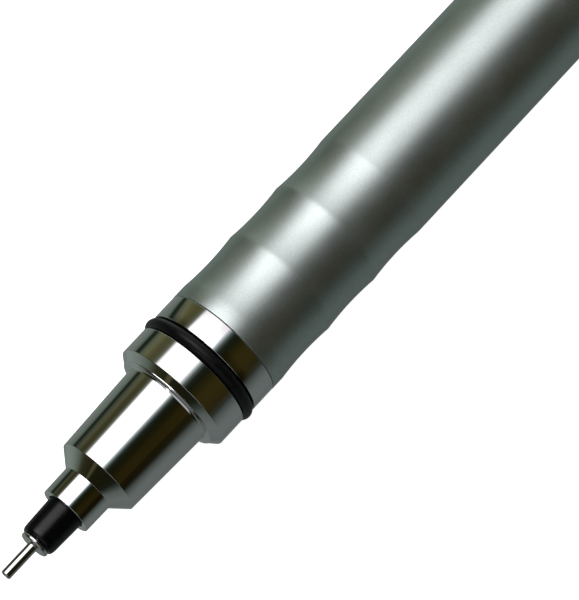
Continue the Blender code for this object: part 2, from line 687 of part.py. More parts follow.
def make_cushion_spring(parent):
    middle_r = (canceller_bore_r + housing_bore_r - RUN_GAP) / 2
    coil_spring("cushion_spring", cushion_start, CUSHION_SPRING_LENGTH, middle_r, CUSHION_SPRING_WIRE_R,
                CUSHION_SPRING_TURNS, steel("cushion_spring_steel"), parent)


def make_spring_seat(parent):
    tube("spring_seat", spring_seat_start, spring_seat_start + SPRING_SEAT_T, cam_r,
         canceller_bore_r, grey_plastic("spring_seat_plastic"), parent)


def make_chuck(parent):
    """A brass collet: a head with a cone behind it, on a slim neck, slit into jaws."""
    cone_start_x = chuck_start + CHUCK_HEAD_LENGTH
    neck_start = cone_start_x + CHUCK_CONE_LENGTH
    end = chuck_start + CHUCK_LENGTH
    hole = LEAD_R + LEAD_GAP
    outer = [(chuck_start, CHUCK_NOSE_R), (chuck_start + CHUCK_NOSE_LENGTH, CHUCK_HEAD_R)]
    outer += [(cone_start_x, CHUCK_HEAD_R), (neck_start, CHUCK_NECK_R), (end, CHUCK_NECK_R)]
    inner = [(chuck_start, hole), (end, hole)]
    chuck = turned("chuck", outer, inner, brass("chuck_brass"), parent)
    slot_end = chuck_start + CHUCK_SLOT_LENGTH
    for jaw in range(CHUCK_JAWS):
        low = (chuck_start - CUT_OVERRUN, -CHUCK_SLOT_W / 2, 0.0)
        high = (slot_end, CHUCK_SLOT_W / 2, CHUCK_HEAD_R + CUT_OVERRUN)
        turn = 2 * math.pi * (jaw + 0.5) / CHUCK_JAWS
        combine(chuck, cutter_block("chuck_slot_cut_%d" % (jaw + 1), low, high, parent, turn), "DIFFERENCE")


def make_chuck_ring(parent):
    """The clamp ring, whose bore follows the chuck's cone."""
    cone_front = chuck_start + CHUCK_HEAD_LENGTH
    slope = (CHUCK_HEAD_R - CHUCK_NECK_R) / CHUCK_CONE_LENGTH
    end = chuck_ring_start + CHUCK_RING_LENGTH
    throat_r = CHUCK_NECK_R + FIT_GAP * 2
    throat_start = cone_front + (CHUCK_HEAD_R + FIT_GAP - throat_r) / slope
    outer_r = sleeve_bore_r - RUN_GAP / 2
    outer = [(chuck_ring_start, outer_r), (end, outer_r)]
    inner = [(chuck_ring_start, CHUCK_HEAD_R + FIT_GAP), (cone_front, CHUCK_HEAD_R + FIT_GAP)]
    inner += [(throat_start, throat_r), (end, throat_r)]
    turned("chuck_ring", outer, inner, brass("chuck_ring_brass"), parent)


def make_chuck_spring(parent):
    middle_r = (CHUCK_NECK_R + sleeve_bore_r) / 2
    coil_spring("chuck_spring", chuck_spring_start, CHUCK_SPRING_LENGTH, middle_r, CHUCK_SPRING_WIRE_R,
                CHUCK_SPRING_TURNS, steel("chuck_spring_steel"), parent)


def make_connector(parent):
    """The bush that joins the chuck's neck to the lead tube and funnels one lead into the chuck."""
    flange_end = connector_start + CONNECTOR_FLANGE_T
    body_r = tube_bore_r - FIT_GAP
    neck_seat_end = chuck_start + CHUCK_LENGTH + FACE_GAP
    outer = [(connector_start, sleeve_bore_r - RUN_GAP), (flange_end, sleeve_bore_r - RUN_GAP)]
    outer += [(flange_end, body_r), (connector_end, body_r)]
    inner = [(connector_start, CHUCK_NECK_R + FIT_GAP), (neck_seat_end, CHUCK_NECK_R + FIT_GAP)]
    inner += [(neck_seat_end, CONNECTOR_PASSAGE_R)]
    inner += [(connector_end - CONNECTOR_FUNNEL_LENGTH, CONNECTOR_PASSAGE_R)]
    inner += [(connector_end, body_r - CONNECTOR_FUNNEL_EDGE)]
    turned("chuck_connector", outer, inner, brass("connector_brass"), parent)


def make_lead_tube(parent):
    tube("lead_tube", lead_tube_start, lead_tube_end, LEAD_TUBE_R, tube_bore_r,
         grey_plastic("lead_tube_plastic"), parent)


def make_lead(name, start, parent, angle=0.0, distance=0.0):
    """A graphite lead, on the axis or lying beside it."""
    outer = [(start, 0.0), (start, LEAD_R), (start + LEAD_LENGTH, LEAD_R), (start + LEAD_LENGTH, 0.0)]
    lead = turned_solid(name, outer, graphite(name + "_graphite"), parent, LEAD_SEGMENTS)
    lead.location.y = distance * math.sin(angle) * MM
    lead.location.z = -distance * math.cos(angle) * MM


def make_spare_leads(parent):
    """Spare leads lie side by side at the bottom of the lead tube."""
    distance = tube_bore_r - LEAD_R - 2 * LEAD_GAP
    step = 2 * math.asin((LEAD_R + LEAD_GAP) / distance)
    for number in range(SPARE_LEADS):
        angle = (number - (SPARE_LEADS - 1) / 2) * step
        make_lead("spare_lead_%d" % (number + 1), connector_end + SPARE_LEAD_START, parent, angle, distance)


def make_rear_collar(parent, clip_frame):
    """The tail piece: a band with the clip's slot, a domed end and a spigot in the rear barrel."""
    dome_start = collar_end - COLLAR_DOME_LENGTH
    outer = [(spigot_start, insert_r), (collar_start, insert_r)]
    outer += [(collar_start, rest_r - COLLAR_EDGE), (collar_start + COLLAR_EDGE, rest_r)]
    for step in range(ARC_STEPS + 1):
        angle = math.pi / 2 * step / ARC_STEPS
        along = dome_start + COLLAR_DOME_LENGTH * math.sin(angle)
        outer.append((along, COLLAR_END_R + (rest_r - COLLAR_END_R) * math.cos(angle)))
    inner = [(spigot_start, ROD_R + RUN_GAP), (collar_end, ROD_R + RUN_GAP)]
    collar = turned("rear_collar", outer, inner, chrome("rear_collar_chrome"), parent, OUTER_SEGMENTS)
    half_t = CLIP_T / 2 + CLIP_SLOT_GAP
    half_w = CLIP_W / 2 + CLIP_SLOT_GAP
    floor = -CLIP_TAB_DEPTH - CLIP_SLOT_GAP
    slot = cutter_block("clip_slot_cut", (-half_t, -half_w, floor), (half_t, half_w, rest_r), clip_frame)
    combine(collar, slot, "DIFFERENCE")


def clip_path():
    """The clip's middle line as (place along the axis, height), both from its hinge axis."""
    arm = CLIP_ARM_R - CLIP_TAB_R
    foot_r = barrel_r + CLIP_BARREL_GAP + CLIP_T / 2 - CLIP_TAB_R
    path = [(0.0, -CLIP_TAB_DEPTH), (0.0, arm - CLIP_BEND_R)]
    path += arc((-CLIP_BEND_R, arm - CLIP_BEND_R), CLIP_BEND_R, 0, 90)[1:]
    foot_middle = -CLIP_LENGTH + CLIP_FOOT_LENGTH / 2
    for step in range(ARC_STEPS + 1):
        along = CLIP_FOOT_LENGTH * (0.5 - step / ARC_STEPS)
        lift = CLIP_FOOT_LIFT * (2 * along / CLIP_FOOT_LENGTH) ** 2
        path.append((foot_middle + along, foot_r + lift))
    return path


def clip_width(along):
    """The clip's width, which narrows from its bend to its tip."""
    share = min(max(-along - CLIP_BEND_R, 0.0) / (CLIP_LENGTH - CLIP_BEND_R), 1.0)
    return CLIP_W + (CLIP_TIP_W - CLIP_W) * share


def make_clip(clip_frame):
    """A bent strip of spring steel, held by its tab in the collar's slot."""
    path = [Vector(point) for point in clip_path()]
    bm = bmesh.new()
    sections = []
    for number, point in enumerate(path):
        before = path[max(number - 1, 0)]
        after = path[min(number + 1, len(path) - 1)]
        incoming = (point - before).normalized() if number else (after - point).normalized()
        outgoing = (after - point).normalized() if number < len(path) - 1 else incoming
        heading = (incoming + outgoing).normalized()
        mitre = CLIP_T / 2 / heading.dot(outgoing)
        normal = Vector((heading.y, -heading.x)) * mitre
        half_w = clip_width(point.x) / 2
        section = []
        for side_t, side_w in ((1, -1), (1, 1), (-1, 1), (-1, -1)):
            spot = point + normal * side_t
            section.append(bm.verts.new((spot.x, side_w * half_w, spot.y)))
        sections.append(section)
    for section, after in zip(sections, sections[1:]):
        for side in range(4):
            other = (side + 1) % 4
            bm.faces.new((section[side], section[other], after[other], after[side]))
    bm.faces.new(sections[0])
    bm.faces.new(sections[-1][::-1])
    clip = place("clip", bm, chrome("clip_chrome"), clip_frame, 0.0)
    bevel = clip.modifiers.new("edges", "BEVEL")
    bevel.width = CLIP_BEVEL * MM
    bevel.segments = 1
    bevel.limit_method = "ANGLE"
    bevel.angle_limit = math.radians(BEVEL_ANGLE)


def make_push_rod(parent):
    """The rod that carries the eraser and pushes the lead tube."""
    outer = [(rod_start, ROD_FLANGE_R), (rod_flange_end, ROD_FLANGE_R), (rod_flange_end, ROD_R)]
    outer += [(rod_end, ROD_R)]
    inner = [(rod_start, LEAD_TUBE_R + RUN_GAP), (rod_shoulder, LEAD_TUBE_R + RUN_GAP)]
    inner += [(rod_shoulder, ROD_PASSAGE_R), (rod_end - ERASER_SEAT, ROD_PASSAGE_R)]
    inner += [(rod_end - ERASER_SEAT, eraser_seat_r), (rod_end, eraser_seat_r)]
    turned("push_rod", outer, inner, grey_plastic("push_rod_plastic"), parent)


def make_button_spring(parent):
    middle_r = (ROD_FLANGE_R + LEAD_TUBE_R) / 2
    coil_spring("button_spring", button_spring_start, BUTTON_SPRING_LENGTH, middle_r, BUTTON_SPRING_WIRE_R,
                BUTTON_SPRING_TURNS, steel("button_spring_steel"), parent)


def make_eraser(parent):
    end = eraser_start + ERASER_LENGTH
    r = eraser_seat_r - FIT_GAP
    outer = [(eraser_start, 0.0), (eraser_start, r), (end - ERASER_EDGE, r)]
    outer += [(end, r - ERASER_EDGE), (end, 0.0)]
    turned_solid("eraser", outer, eraser_white("eraser_vinyl"), parent)


def make_button_cap(parent):
    rod_room_end = rod_end + FACE_GAP
    inside_end = LENGTH - CAP_END_T
    outer = [(cap_start, ROD_R + FIT_GAP), (cap_start, cap_r - CAP_FRONT_EDGE)]
    outer += [(cap_start + CAP_FRONT_EDGE, cap_r)]
    outer += arc((LENGTH - CAP_EDGE, cap_r - CAP_EDGE), CAP_EDGE, 90, 0)
    outer += [(LENGTH, 0.0)]
    inner = [(rod_room_end, ROD_R + FIT_GAP), (rod_room_end, eraser_seat_r + RUN_GAP)]
    inner += [(inside_end, eraser_seat_r + RUN_GAP), (inside_end, 0.0)]
    bm = turned_bmesh(inner[::-1] + outer, cap_start, INNER_SEGMENTS, closed=False)
    place("button_cap", bm, chrome("button_cap_chrome"), parent, cap_start)


def lay_down(axis):
    """Set the origin under the middle of the bounding box, with the lowest point at z = 0."""
    bpy.context.view_layer.update()
    depsgraph = bpy.context.evaluated_depsgraph_get()
    corners = []
    for thing in bpy.context.scene.objects:
        if thing.type != "MESH" or thing.hide_render:
            continue
        evaluated = thing.evaluated_get(depsgraph)
        corners += [evaluated.matrix_world @ vert.co for vert in evaluated.data.vertices]
    lows = [min(corner[side] for corner in corners) for side in range(3)]
    highs = [max(corner[side] for corner in corners) for side in range(3)]
    axis.location = (-(lows[0] + highs[0]) / 2, -(lows[1] + highs[1]) / 2, -lows[2])


clear_scene()
cutter_finish = material("cutter", (0.8, 0.2, 0.2), 0.5, 0.0)

pencil = frame_empty("pencil_axis")
pressure_axis = frame_empty("pressure_slide", pencil)
turning = frame_empty("rotor_axis", pressure_axis)
chuck_axis = frame_empty("chuck_slide", turning)
feed_axis = frame_empty("feed_slide", turning)
slider_axis = frame_empty("slider_slide", turning)
button_axis = frame_empty("button_slide", pencil)
cap_axis = frame_empty("cap_slide", button_axis)
clip_side = frame_empty("clip_side", pencil, clip_hinge)
clip_side.rotation_euler = (clip_roll, 0.0, 0.0)
clip_frame = frame_empty("clip_hinge", clip_side, 0.0, CLIP_TAB_R)

make_nose_cone(pencil)
make_o_ring(pencil)
make_grip(pencil)
make_inner_sleeve(pencil)
make_window(pencil)
make_rear_barrel(pencil)
make_rear_collar(pencil, clip_frame)
make_cam_housing(pencil)
make_cams(pencil)
make_cushion_spring(pencil)
make_spring_seat(pencil)
make_button_spring(pencil)
make_torque_canceller(pressure_axis)
make_rotor(turning)
make_rotor_sleeve(turning)
make_ring_stop(turning)
make_chuck_spring(turning)
make_chuck(chuck_axis)
make_connector(chuck_axis)
make_lead_tube(chuck_axis)
make_spare_leads(chuck_axis)
make_chuck_ring(feed_axis)
make_lead("lead", LEAD_RECESS, feed_axis)
make_slider(slider_axis)
make_lead_pipe(slider_axis)
make_lead_retainer(slider_axis)
make_push_rod(button_axis)
make_eraser(button_axis)
make_button_cap(cap_axis)
make_clip(clip_frame)

lay_down(pencil)
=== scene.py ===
"""Looks for the drafting pencil: smooth turned pieces, procedural finishes, studio and camera.

Sizes are in millimetres. A place along the pencil is its distance from the lead pipe's end.
"""

import json
import math

import bmesh
import bpy
from mathutils import Matrix, Vector


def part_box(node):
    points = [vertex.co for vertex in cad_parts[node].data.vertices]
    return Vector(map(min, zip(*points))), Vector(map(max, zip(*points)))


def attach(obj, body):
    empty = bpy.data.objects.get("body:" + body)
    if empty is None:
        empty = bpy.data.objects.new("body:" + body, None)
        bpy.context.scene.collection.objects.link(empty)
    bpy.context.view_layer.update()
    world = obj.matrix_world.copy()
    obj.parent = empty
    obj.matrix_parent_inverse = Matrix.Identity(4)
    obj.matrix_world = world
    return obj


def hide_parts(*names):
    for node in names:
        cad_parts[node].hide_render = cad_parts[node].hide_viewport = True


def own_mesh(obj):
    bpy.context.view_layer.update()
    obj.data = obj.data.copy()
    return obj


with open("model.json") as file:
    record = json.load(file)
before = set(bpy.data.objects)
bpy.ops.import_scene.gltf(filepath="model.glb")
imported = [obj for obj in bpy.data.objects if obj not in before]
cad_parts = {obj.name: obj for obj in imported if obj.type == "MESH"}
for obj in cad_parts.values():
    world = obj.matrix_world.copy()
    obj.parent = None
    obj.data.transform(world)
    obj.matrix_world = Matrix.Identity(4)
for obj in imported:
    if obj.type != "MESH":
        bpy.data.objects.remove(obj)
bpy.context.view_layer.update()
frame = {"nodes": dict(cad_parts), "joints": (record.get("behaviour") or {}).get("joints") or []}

MM = 0.001

# The pencil's axis and ends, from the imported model
tip_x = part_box("lead_pipe")[0].x
barrel_low, barrel_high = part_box("rear_barrel")
axis_y = (barrel_low.y + barrel_high.y) / 2
axis_z = (barrel_low.z + barrel_high.z) / 2
ON_AXIS = Vector((tip_x, axis_y, axis_z))

SEGMENTS = 160
SMALL_SEGMENTS = 96
SHARP_ANGLE = 40                 # degrees; sharper edges than this stay sharp

# ---------------------------------------------------------------- shapes


def fillet(before, corner, after, radius, steps):
    """Points of the arc that rounds a corner between two straight lines."""
    to_before = before - corner
    to_after = after - corner
    turn = to_before.angle(to_after, math.pi)
    if radius <= 0.0 or turn > math.pi - 0.01:
        return [corner]
    reach = radius / math.tan(turn / 2)
    limit = 0.48 * min(to_before.length, to_after.length)
    if reach > limit:
        reach = limit
    radius = reach * math.tan(turn / 2)
    middle_line = (to_before.normalized() + to_after.normalized()).normalized()
    centre = corner + middle_line * (radius / math.sin(turn / 2))
    first = corner + to_before.normalized() * reach - centre
    last = corner + to_after.normalized() * reach - centre
    swing = first.angle_signed(last)
    points = []
    for step in range(steps + 1):
        angle = -swing * step / steps
        c = math.cos(angle)
        s = math.sin(angle)
        points.append(centre + Vector((first.x * c - first.y * s, first.x * s + first.y * c)))
    return points


def outline(corners, closed=True, steps=5):
    """Rounded outline from corners given as (place, radius from the axis, rounding)."""
    spots = [Vector(corner[:2]) for corner in corners]
    points = []
    for number, corner in enumerate(corners):
        rounding = corner[2] if len(corner) > 2 else 0.0
        inside = closed or 0 < number < len(corners) - 1
        if rounding and inside:
            after = spots[(number + 1) % len(spots)]
            points += fillet(spots[number - 1], spots[number], after, rounding, steps)
        else:
            points.append(spots[number])
    return points


def new_piece(name, bm, finish):
    """A smooth object from a bmesh that is already in the row frame."""
    bmesh.ops.recalc_face_normals(bm, faces=bm.faces)
    mesh = bpy.data.meshes.new(name)
    bm.to_mesh(mesh)
    bm.free()
    mesh.shade_smooth()
    mesh.set_sharp_from_angle(angle=math.radians(SHARP_ANGLE))
    mesh.materials.append(finish)
    piece = bpy.data.objects.new(name, mesh)
    bpy.context.scene.collection.objects.link(piece)
    weigh = piece.modifiers.new("even_normals", "WEIGHTED_NORMAL")
    weigh.keep_sharp = True
    return piece


def settle(piece, body, slot, *nodes):
    """Attach a piece to its body and hide the CAD nodes it stands for; the slot is not used."""
    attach(piece, body)
    if nodes:
        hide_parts(*nodes)
    return piece


def lathe(name, corners, finish, closed=True, segments=SEGMENTS, steps=5):
    """A turned piece about the pencil's axis."""
    points = outline(corners, closed, steps)
    bm = bmesh.new()
    rings = []
    for point in points:
        x = tip_x + point.x * MM
        r = point.y * MM
        if r < 1e-9:
            rings.append([bm.verts.new((x, axis_y, axis_z))] * segments)
            continue
        ring = []
        for segment in range(segments):
            angle = 2 * math.pi * segment / segments
            ring.append(bm.verts.new((x, axis_y + r * math.cos(angle), axis_z + r * math.sin(angle))))
        rings.append(ring)
    pairs = list(zip(rings, rings[1:]))
    if closed:
        pairs.append((rings[-1], rings[0]))
    for ring, after in pairs:
        for segment in range(segments):
            other = (segment + 1) % segments
            corners_here = [ring[segment], ring[other], after[other], after[segment]]
            face = [v for n, v in enumerate(corners_here) if v not in corners_here[:n]]
            if len(face) > 2:
                bm.faces.new(face)
    return new_piece(name, bm, finish)


def coil(name, start, length, middle_r, wire_r, turns, finish, sides=12, per_turn=40):
    """A compression spring with closed ends."""
    dead = 2.1 * wire_r
    pitch = (length - 2 * wire_r - 2 * dead) / (turns - 2)
    steps = turns * per_turn
    bm = bmesh.new()
    rings = []
    for step in range(steps + 1):
        turn = step / per_turn
        along = dead * min(turn, 1.0)
        along += pitch * min(max(turn - 1.0, 0.0), turns - 2.0)
        along += dead * max(turn - (turns - 1.0), 0.0)
        angle = 2 * math.pi * turn
        outward = Vector((0.0, math.cos(angle), math.sin(angle)))
        centre = Vector((start + wire_r + along, 0.0, 0.0)) + outward * middle_r
        ring = []
        for side in range(sides):
            lean = 2 * math.pi * side / sides
            spot = centre + (outward * math.cos(lean) + Vector((math.sin(lean), 0.0, 0.0))) * wire_r
            ring.append(bm.verts.new(ON_AXIS + spot * MM))
        rings.append(ring)
    for ring, after in zip(rings, rings[1:]):
        for side in range(sides):
            other = (side + 1) % sides
            bm.faces.new((ring[side], ring[other], after[other], after[side]))
    bm.faces.new(rings[0])
    bm.faces.new(rings[-1][::-1])
    return new_piece(name, bm, finish)


# ---------------------------------------------------------------- finishes


class Finish:
    """A Principled material whose colour, roughness and bump vary with procedural noise."""

    def __init__(self, name, color, roughness, metallic=0.0):
        self.material = bpy.data.materials.new(name)
        self.material.use_nodes = True
        self.nodes = self.material.node_tree.nodes
        self.links = self.material.node_tree.links
        self.shader = self.nodes["Principled BSDF"]
        self.shader.inputs["Metallic"].default_value = metallic
        self.color = color
        self.roughness = roughness
        self.coordinates = self.nodes.new("ShaderNodeTexCoord")
        self.heights = []

    def noise(self, size_mm, stretch=(1, 1, 1), detail=3.0, rough=0.55):
        """Noise whose grains are size_mm across, times the stretch along each axis."""
        mapping = self.nodes.new("ShaderNodeMapping")
        mapping.inputs["Scale"].default_value = [1.0 / (size_mm * MM * s) for s in stretch]
        self.links.new(self.coordinates.outputs["Object"], mapping.inputs["Vector"])
        texture = self.nodes.new("ShaderNodeTexNoise")
        texture.inputs["Scale"].default_value = 1.0
        texture.inputs["Detail"].default_value = detail
        texture.inputs["Roughness"].default_value = rough
        self.links.new(mapping.outputs["Vector"], texture.inputs["Vector"])
        return texture.outputs["Fac"]

    def spread(self, value, low, high, from_low=0.3, from_high=0.7):
        """Noise value mapped to a range."""
        node = self.nodes.new("ShaderNodeMapRange")
        node.inputs["From Min"].default_value = from_low
        node.inputs["From Max"].default_value = from_high
        node.inputs["To Min"].default_value = low
        node.inputs["To Max"].default_value = high
        self.links.new(value, node.inputs["Value"])
        return node.outputs["Result"]

    def colors(self, value, low_color, high_color):
        """Colour that runs between two colours with the noise."""
        ramp = self.nodes.new("ShaderNodeValToRGB")
        ramp.color_ramp.elements[0].position = 0.3
        ramp.color_ramp.elements[0].color = (*low_color, 1.0)
        ramp.color_ramp.elements[1].position = 0.7
        ramp.color_ramp.elements[1].color = (*high_color, 1.0)
        self.links.new(value, ramp.inputs["Fac"])
        self.links.new(ramp.outputs["Color"], self.shader.inputs["Base Color"])

    def mottle(self, value, change):
        """Base colour, lighter and darker by a share of itself."""
        low = [c * (1 - change) for c in self.color]
        high = [min(c * (1 + change), 1.0) for c in self.color]
        self.colors(value, low, high)

    def roughen(self, value, change):
        """Roughness that runs above and below its middle value."""
        result = self.spread(value, self.roughness - change, self.roughness + change)
        self.links.new(result, self.shader.inputs["Roughness"])

    def bump(self, value, depth_mm, strength=1.0):
        """Bump of that depth, added on top of the bumps before it."""
        node = self.nodes.new("ShaderNodeBump")
        node.inputs["Distance"].default_value = depth_mm * MM
        node.inputs["Strength"].default_value = strength
        self.links.new(value, node.inputs["Height"])
        if self.heights:
            self.links.new(self.heights[-1].outputs["Normal"], node.inputs["Normal"])
        self.heights.append(node)
        self.links.new(node.outputs["Normal"], self.shader.inputs["Normal"])


TURNED = (1.0, 40.0, 40.0)      # marks that run round the pencil
DRAWN = (40.0, 1.0, 1.0)        # marks that run along it


def chrome(name, roughness=0.055):
    """Bright plating over a finely turned surface."""
    finish = Finish(name, (0.76, 0.77, 0.76), roughness, 1.0)
    marks = finish.noise(0.035, TURNED, 2.0)
    haze = finish.noise(1.6, (1, 1, 1), 4.0)
    finish.mottle(haze, 0.03)
    finish.roughen(marks, 0.025)
    finish.bump(marks, 0.00012)
    return finish.material


def satin_aluminium(name):
    """Blasted and anodised aluminium: fine grain, faint cloudiness."""
    finish = Finish(name, (0.56, 0.63, 0.60), 0.41, 1.0)
    grain = finish.noise(0.12, (1, 1, 1), 3.0, 0.7)
    clouds = finish.noise(2.4, (1.6, 1, 1), 4.0)
    finish.mottle(grain, 0.10)
    finish.roughen(clouds, 0.03)
    finish.bump(grain, 0.0024)
    return finish.material


def rubber(name, color=(0.003, 0.0032, 0.0035), roughness=0.36, gloss=0.2):
    """Dusty rubber with a fine skin."""
    finish = Finish(name, color, roughness)
    finish.shader.inputs["Specular IOR Level"].default_value = gloss
    skin = finish.noise(0.09, (1, 1, 1), 4.0)
    dust = finish.noise(0.5, (1, 1, 1), 5.0)
    finish.mottle(dust, 0.35)
    finish.roughen(dust, 0.07)
    finish.bump(skin, 0.0025)
    return finish.material


def black_plastic(name):
    """Glossy moulded plastic with faint flow marks along it."""
    finish = Finish(name, (0.0012, 0.0013, 0.0016), 0.27)
    finish.shader.inputs["Specular IOR Level"].default_value = 0.3
    flow = finish.noise(0.16, (6, 1, 1), 3.0)
    speck = finish.noise(0.05, (1, 1, 1), 3.0)
    finish.mottle(flow, 0.3)
    finish.roughen(flow, 0.05)
    finish.bump(speck, 0.0009)
    return finish.material


def moulded(name, color, roughness):
    """Matte moulded plastic."""
    finish = Finish(name, color, roughness)
    grain = finish.noise(0.12, (1, 1, 1), 3.0)
    flow = finish.noise(1.5, (4, 1, 1), 3.0)
    finish.mottle(flow, 0.06)
    finish.roughen(grain, 0.06)
    finish.bump(grain, 0.002)
    return finish.material


def steel(name, color=(0.66, 0.66, 0.65), roughness=0.14, marks_along=TURNED):
    """Polished steel with fine tool marks."""
    finish = Finish(name, color, roughness, 1.0)
    marks = finish.noise(0.03, marks_along, 2.0)
    tint = finish.noise(0.8, (1, 1, 1), 3.0)
    finish.mottle(tint, 0.05)
    finish.roughen(marks, 0.05)
    finish.bump(marks, 0.0003)
    return finish.material


def brass(name):
    """Turned brass, a little tarnished."""
    finish = Finish(name, (0.80, 0.60, 0.28), 0.2, 1.0)
    marks = finish.noise(0.05, TURNED, 2.0)
    tarnish = finish.noise(1.2, (1, 1, 1), 4.0)
    finish.colors(tarnish, (0.66, 0.46, 0.19), (0.84, 0.65, 0.32))
    finish.roughen(marks, 0.07)
    finish.bump(marks, 0.0006)
    return finish.material


def clear_plastic(name):
    """Clear moulded plastic with a little smoke in it."""
    finish = Finish(name, (0.86, 0.89, 0.90), 0.05)
    haze = finish.noise(1.0, (1, 1, 1), 4.0)
    waves = finish.noise(0.8, (1, 1, 1), 1.0)
    finish.mottle(haze, 0.03)
    finish.roughen(haze, 0.025)
    finish.bump(waves, 0.001)
    finish.shader.inputs["IOR"].default_value = 1.49
    finish.shader.inputs["Transmission Weight"].default_value = 1.0
    return finish.material


def eraser_vinyl(name):
    """Soft white vinyl with pores and faint smudges."""
    finish = Finish(name, (0.86, 0.86, 0.84), 0.6)
    pores = finish.noise(0.12, (1, 1, 1), 5.0)
    smudge = finish.noise(1.8, (1, 1, 1), 4.0)
    finish.colors(smudge, (0.78, 0.78, 0.77), (0.89, 0.89, 0.87))
    finish.roughen(pores, 0.08)
    finish.bump(pores, 0.008)
    finish.shader.inputs["Subsurface Weight"].default_value = 0.15
    finish.shader.inputs["Subsurface Scale"].default_value = 0.4 * MM
    return finish.material


def graphite(name):
    """Drawn pencil lead."""
    finish = Finish(name, (0.07, 0.07, 0.075), 0.36, 0.4)
    streaks = finish.noise(0.04, DRAWN, 3.0)
    finish.mottle(streaks, 0.3)
    finish.roughen(streaks, 0.08)
    finish.bump(streaks, 0.001)
    return finish.material


def gasket(name):
    """Greyer, matter rubber for the bush that holds the lead."""
    return rubber(name, (0.02, 0.02, 0.021), 0.55, 0.5)


nose_chrome = chrome("nose_chrome")
trim_chrome = chrome("trim_chrome", roughness=0.065)
clip_chrome = chrome("clip_chrome", roughness=0.08)
grip_metal = satin_aluminium("grip_metal")
barrel_metal = satin_aluminium("barrel_metal")
ring_rubber = rubber("ring_rubber")
slider_black = black_plastic("slider_black")
pipe_steel = steel("pipe_steel", roughness=0.12)
spring_steel = steel("spring_wire", (0.6, 0.61, 0.62), 0.2, (1, 1, 1))
turned_brass = brass("turned_brass")
cam_plastic = moulded("cam_plastic", (0.74, 0.75, 0.73), 0.38)
grey_plastic = moulded("grey_plastic", (0.34, 0.35, 0.37), 0.42)
window_clear = clear_plastic("window_clear")
housing_clear = clear_plastic("housing_clear")
vinyl = eraser_vinyl("eraser_white")
lead_graphite = graphite("lead_graphite")

# ---------------------------------------------------------------- nose end

PIPE_BORE_R = 0.28
PIPE_R = 0.46
PIPE_END = 7.07
FLANGE_START = 3.27
FLANGE_END = 3.66
FLANGE_R = 1.315

pipe = lathe("pipe", [
    (0.0, PIPE_BORE_R, 0.03), (0.0, PIPE_R, 0.13), (FLANGE_START, PIPE_R, 0.07),
    (FLANGE_START, FLANGE_R, 0.21), (FLANGE_END, FLANGE_R, 0.17), (FLANGE_END, PIPE_R),
    (PIPE_END, PIPE_R, 0.05), (PIPE_END, PIPE_BORE_R)],
    pipe_steel, segments=SMALL_SEGMENTS, steps=6)
settle(pipe, "slider", "polished_steel", "lead_pipe")

SLIDER_START = 3.72
SLIDER_R = 1.655                 # in the nose's mouth
SLIDER_SEAT_R = 0.51             # for the pipe
SLIDER_SEAT_END = 7.12
SLIDER_FLANGE_START = 11.26
SLIDER_FLANGE_END = 12.16
SLIDER_FLANGE_R = 2.6
SLIDER_TAIL_R = 2.0
SLIDER_TAIL_BORE_R = 1.3
SLIDER_TAIL_BORE_START = 12.51
SLIDER_END = 19.01
LEAD_PASSAGE_R = 0.4
NOSE_START = 7.11

slider = lathe("slider_sleeve", [
    (SLIDER_START, SLIDER_SEAT_R, 0.04), (SLIDER_START, 1.435, 0.10), (3.96, 1.535, 0.12),
    (4.32, 1.567, 0.2), (NOSE_START, SLIDER_R), (SLIDER_FLANGE_START, SLIDER_R),
    (SLIDER_FLANGE_START, SLIDER_FLANGE_R, 0.08), (SLIDER_FLANGE_END, SLIDER_FLANGE_R, 0.08),
    (SLIDER_FLANGE_END, SLIDER_TAIL_R), (SLIDER_END, SLIDER_TAIL_R, 0.08),
    (SLIDER_END, SLIDER_TAIL_BORE_R), (SLIDER_TAIL_BORE_START, SLIDER_TAIL_BORE_R),
    (SLIDER_TAIL_BORE_START, LEAD_PASSAGE_R), (SLIDER_SEAT_END, LEAD_PASSAGE_R),
    (SLIDER_SEAT_END, SLIDER_SEAT_R)],
    slider_black, segments=SMALL_SEGMENTS)
settle(slider, "slider", "black_plastic", "slider")

LEAD_R = 0.25
LEAD_START = 0.15
LEAD_END = 60.15

lead = lathe("lead_in_use", [
    (LEAD_START, 0.0), (LEAD_START, LEAD_R, 0.05), (LEAD_END, LEAD_R, 0.03), (LEAD_END, 0.0)],
    lead_graphite, closed=False, segments=32)
settle(lead, "feed", "graphite", "lead")

GROOVE_START = 22.47
GROOVE_END = 23.77
GROOVE_R = 4.385
BAND_FRONT_R = 5.385
BAND_REAR_R = 5.435
NOSE_END = 26.04                 # band's rear face; the screwed tail runs on inside the grip
NOSE_TAIL_END = 32.84
NOSE_TAIL_R = 4.15
NOSE_BORE_R = 3.1
NOSE_BORE_START = 11.21
NOSE_MOUTH_R = 1.755
RING_PLACE = 23.12
RING_MIDDLE_R = 5.035

nose = lathe("nose", [
    (NOSE_START, 2.305, 0.07), (9.73, 2.335, 0.03), (11.0, 3.735, 0.05), (19.1, 4.02, 0.05),
    (19.26, 4.12, 0.05), (19.3, 4.69, 0.03), (19.37, 4.7, 0.03), (19.94, BAND_FRONT_R, 0.06),
    (GROOVE_START, BAND_FRONT_R, 0.06), (GROOVE_START, GROOVE_R, 0.1), (GROOVE_END, GROOVE_R, 0.1),
    (GROOVE_END, BAND_REAR_R, 0.06), (NOSE_END, BAND_REAR_R, 0.04), (NOSE_END, NOSE_TAIL_R),
    (NOSE_TAIL_END, NOSE_TAIL_R, 0.1), (NOSE_TAIL_END, NOSE_BORE_R), (NOSE_BORE_START, NOSE_BORE_R),
    (NOSE_BORE_START, NOSE_MOUTH_R), (NOSE_START, NOSE_MOUTH_R, 0.06)],
    nose_chrome, steps=6)
settle(nose, "barrel", "chrome_nose", "nose_cone")

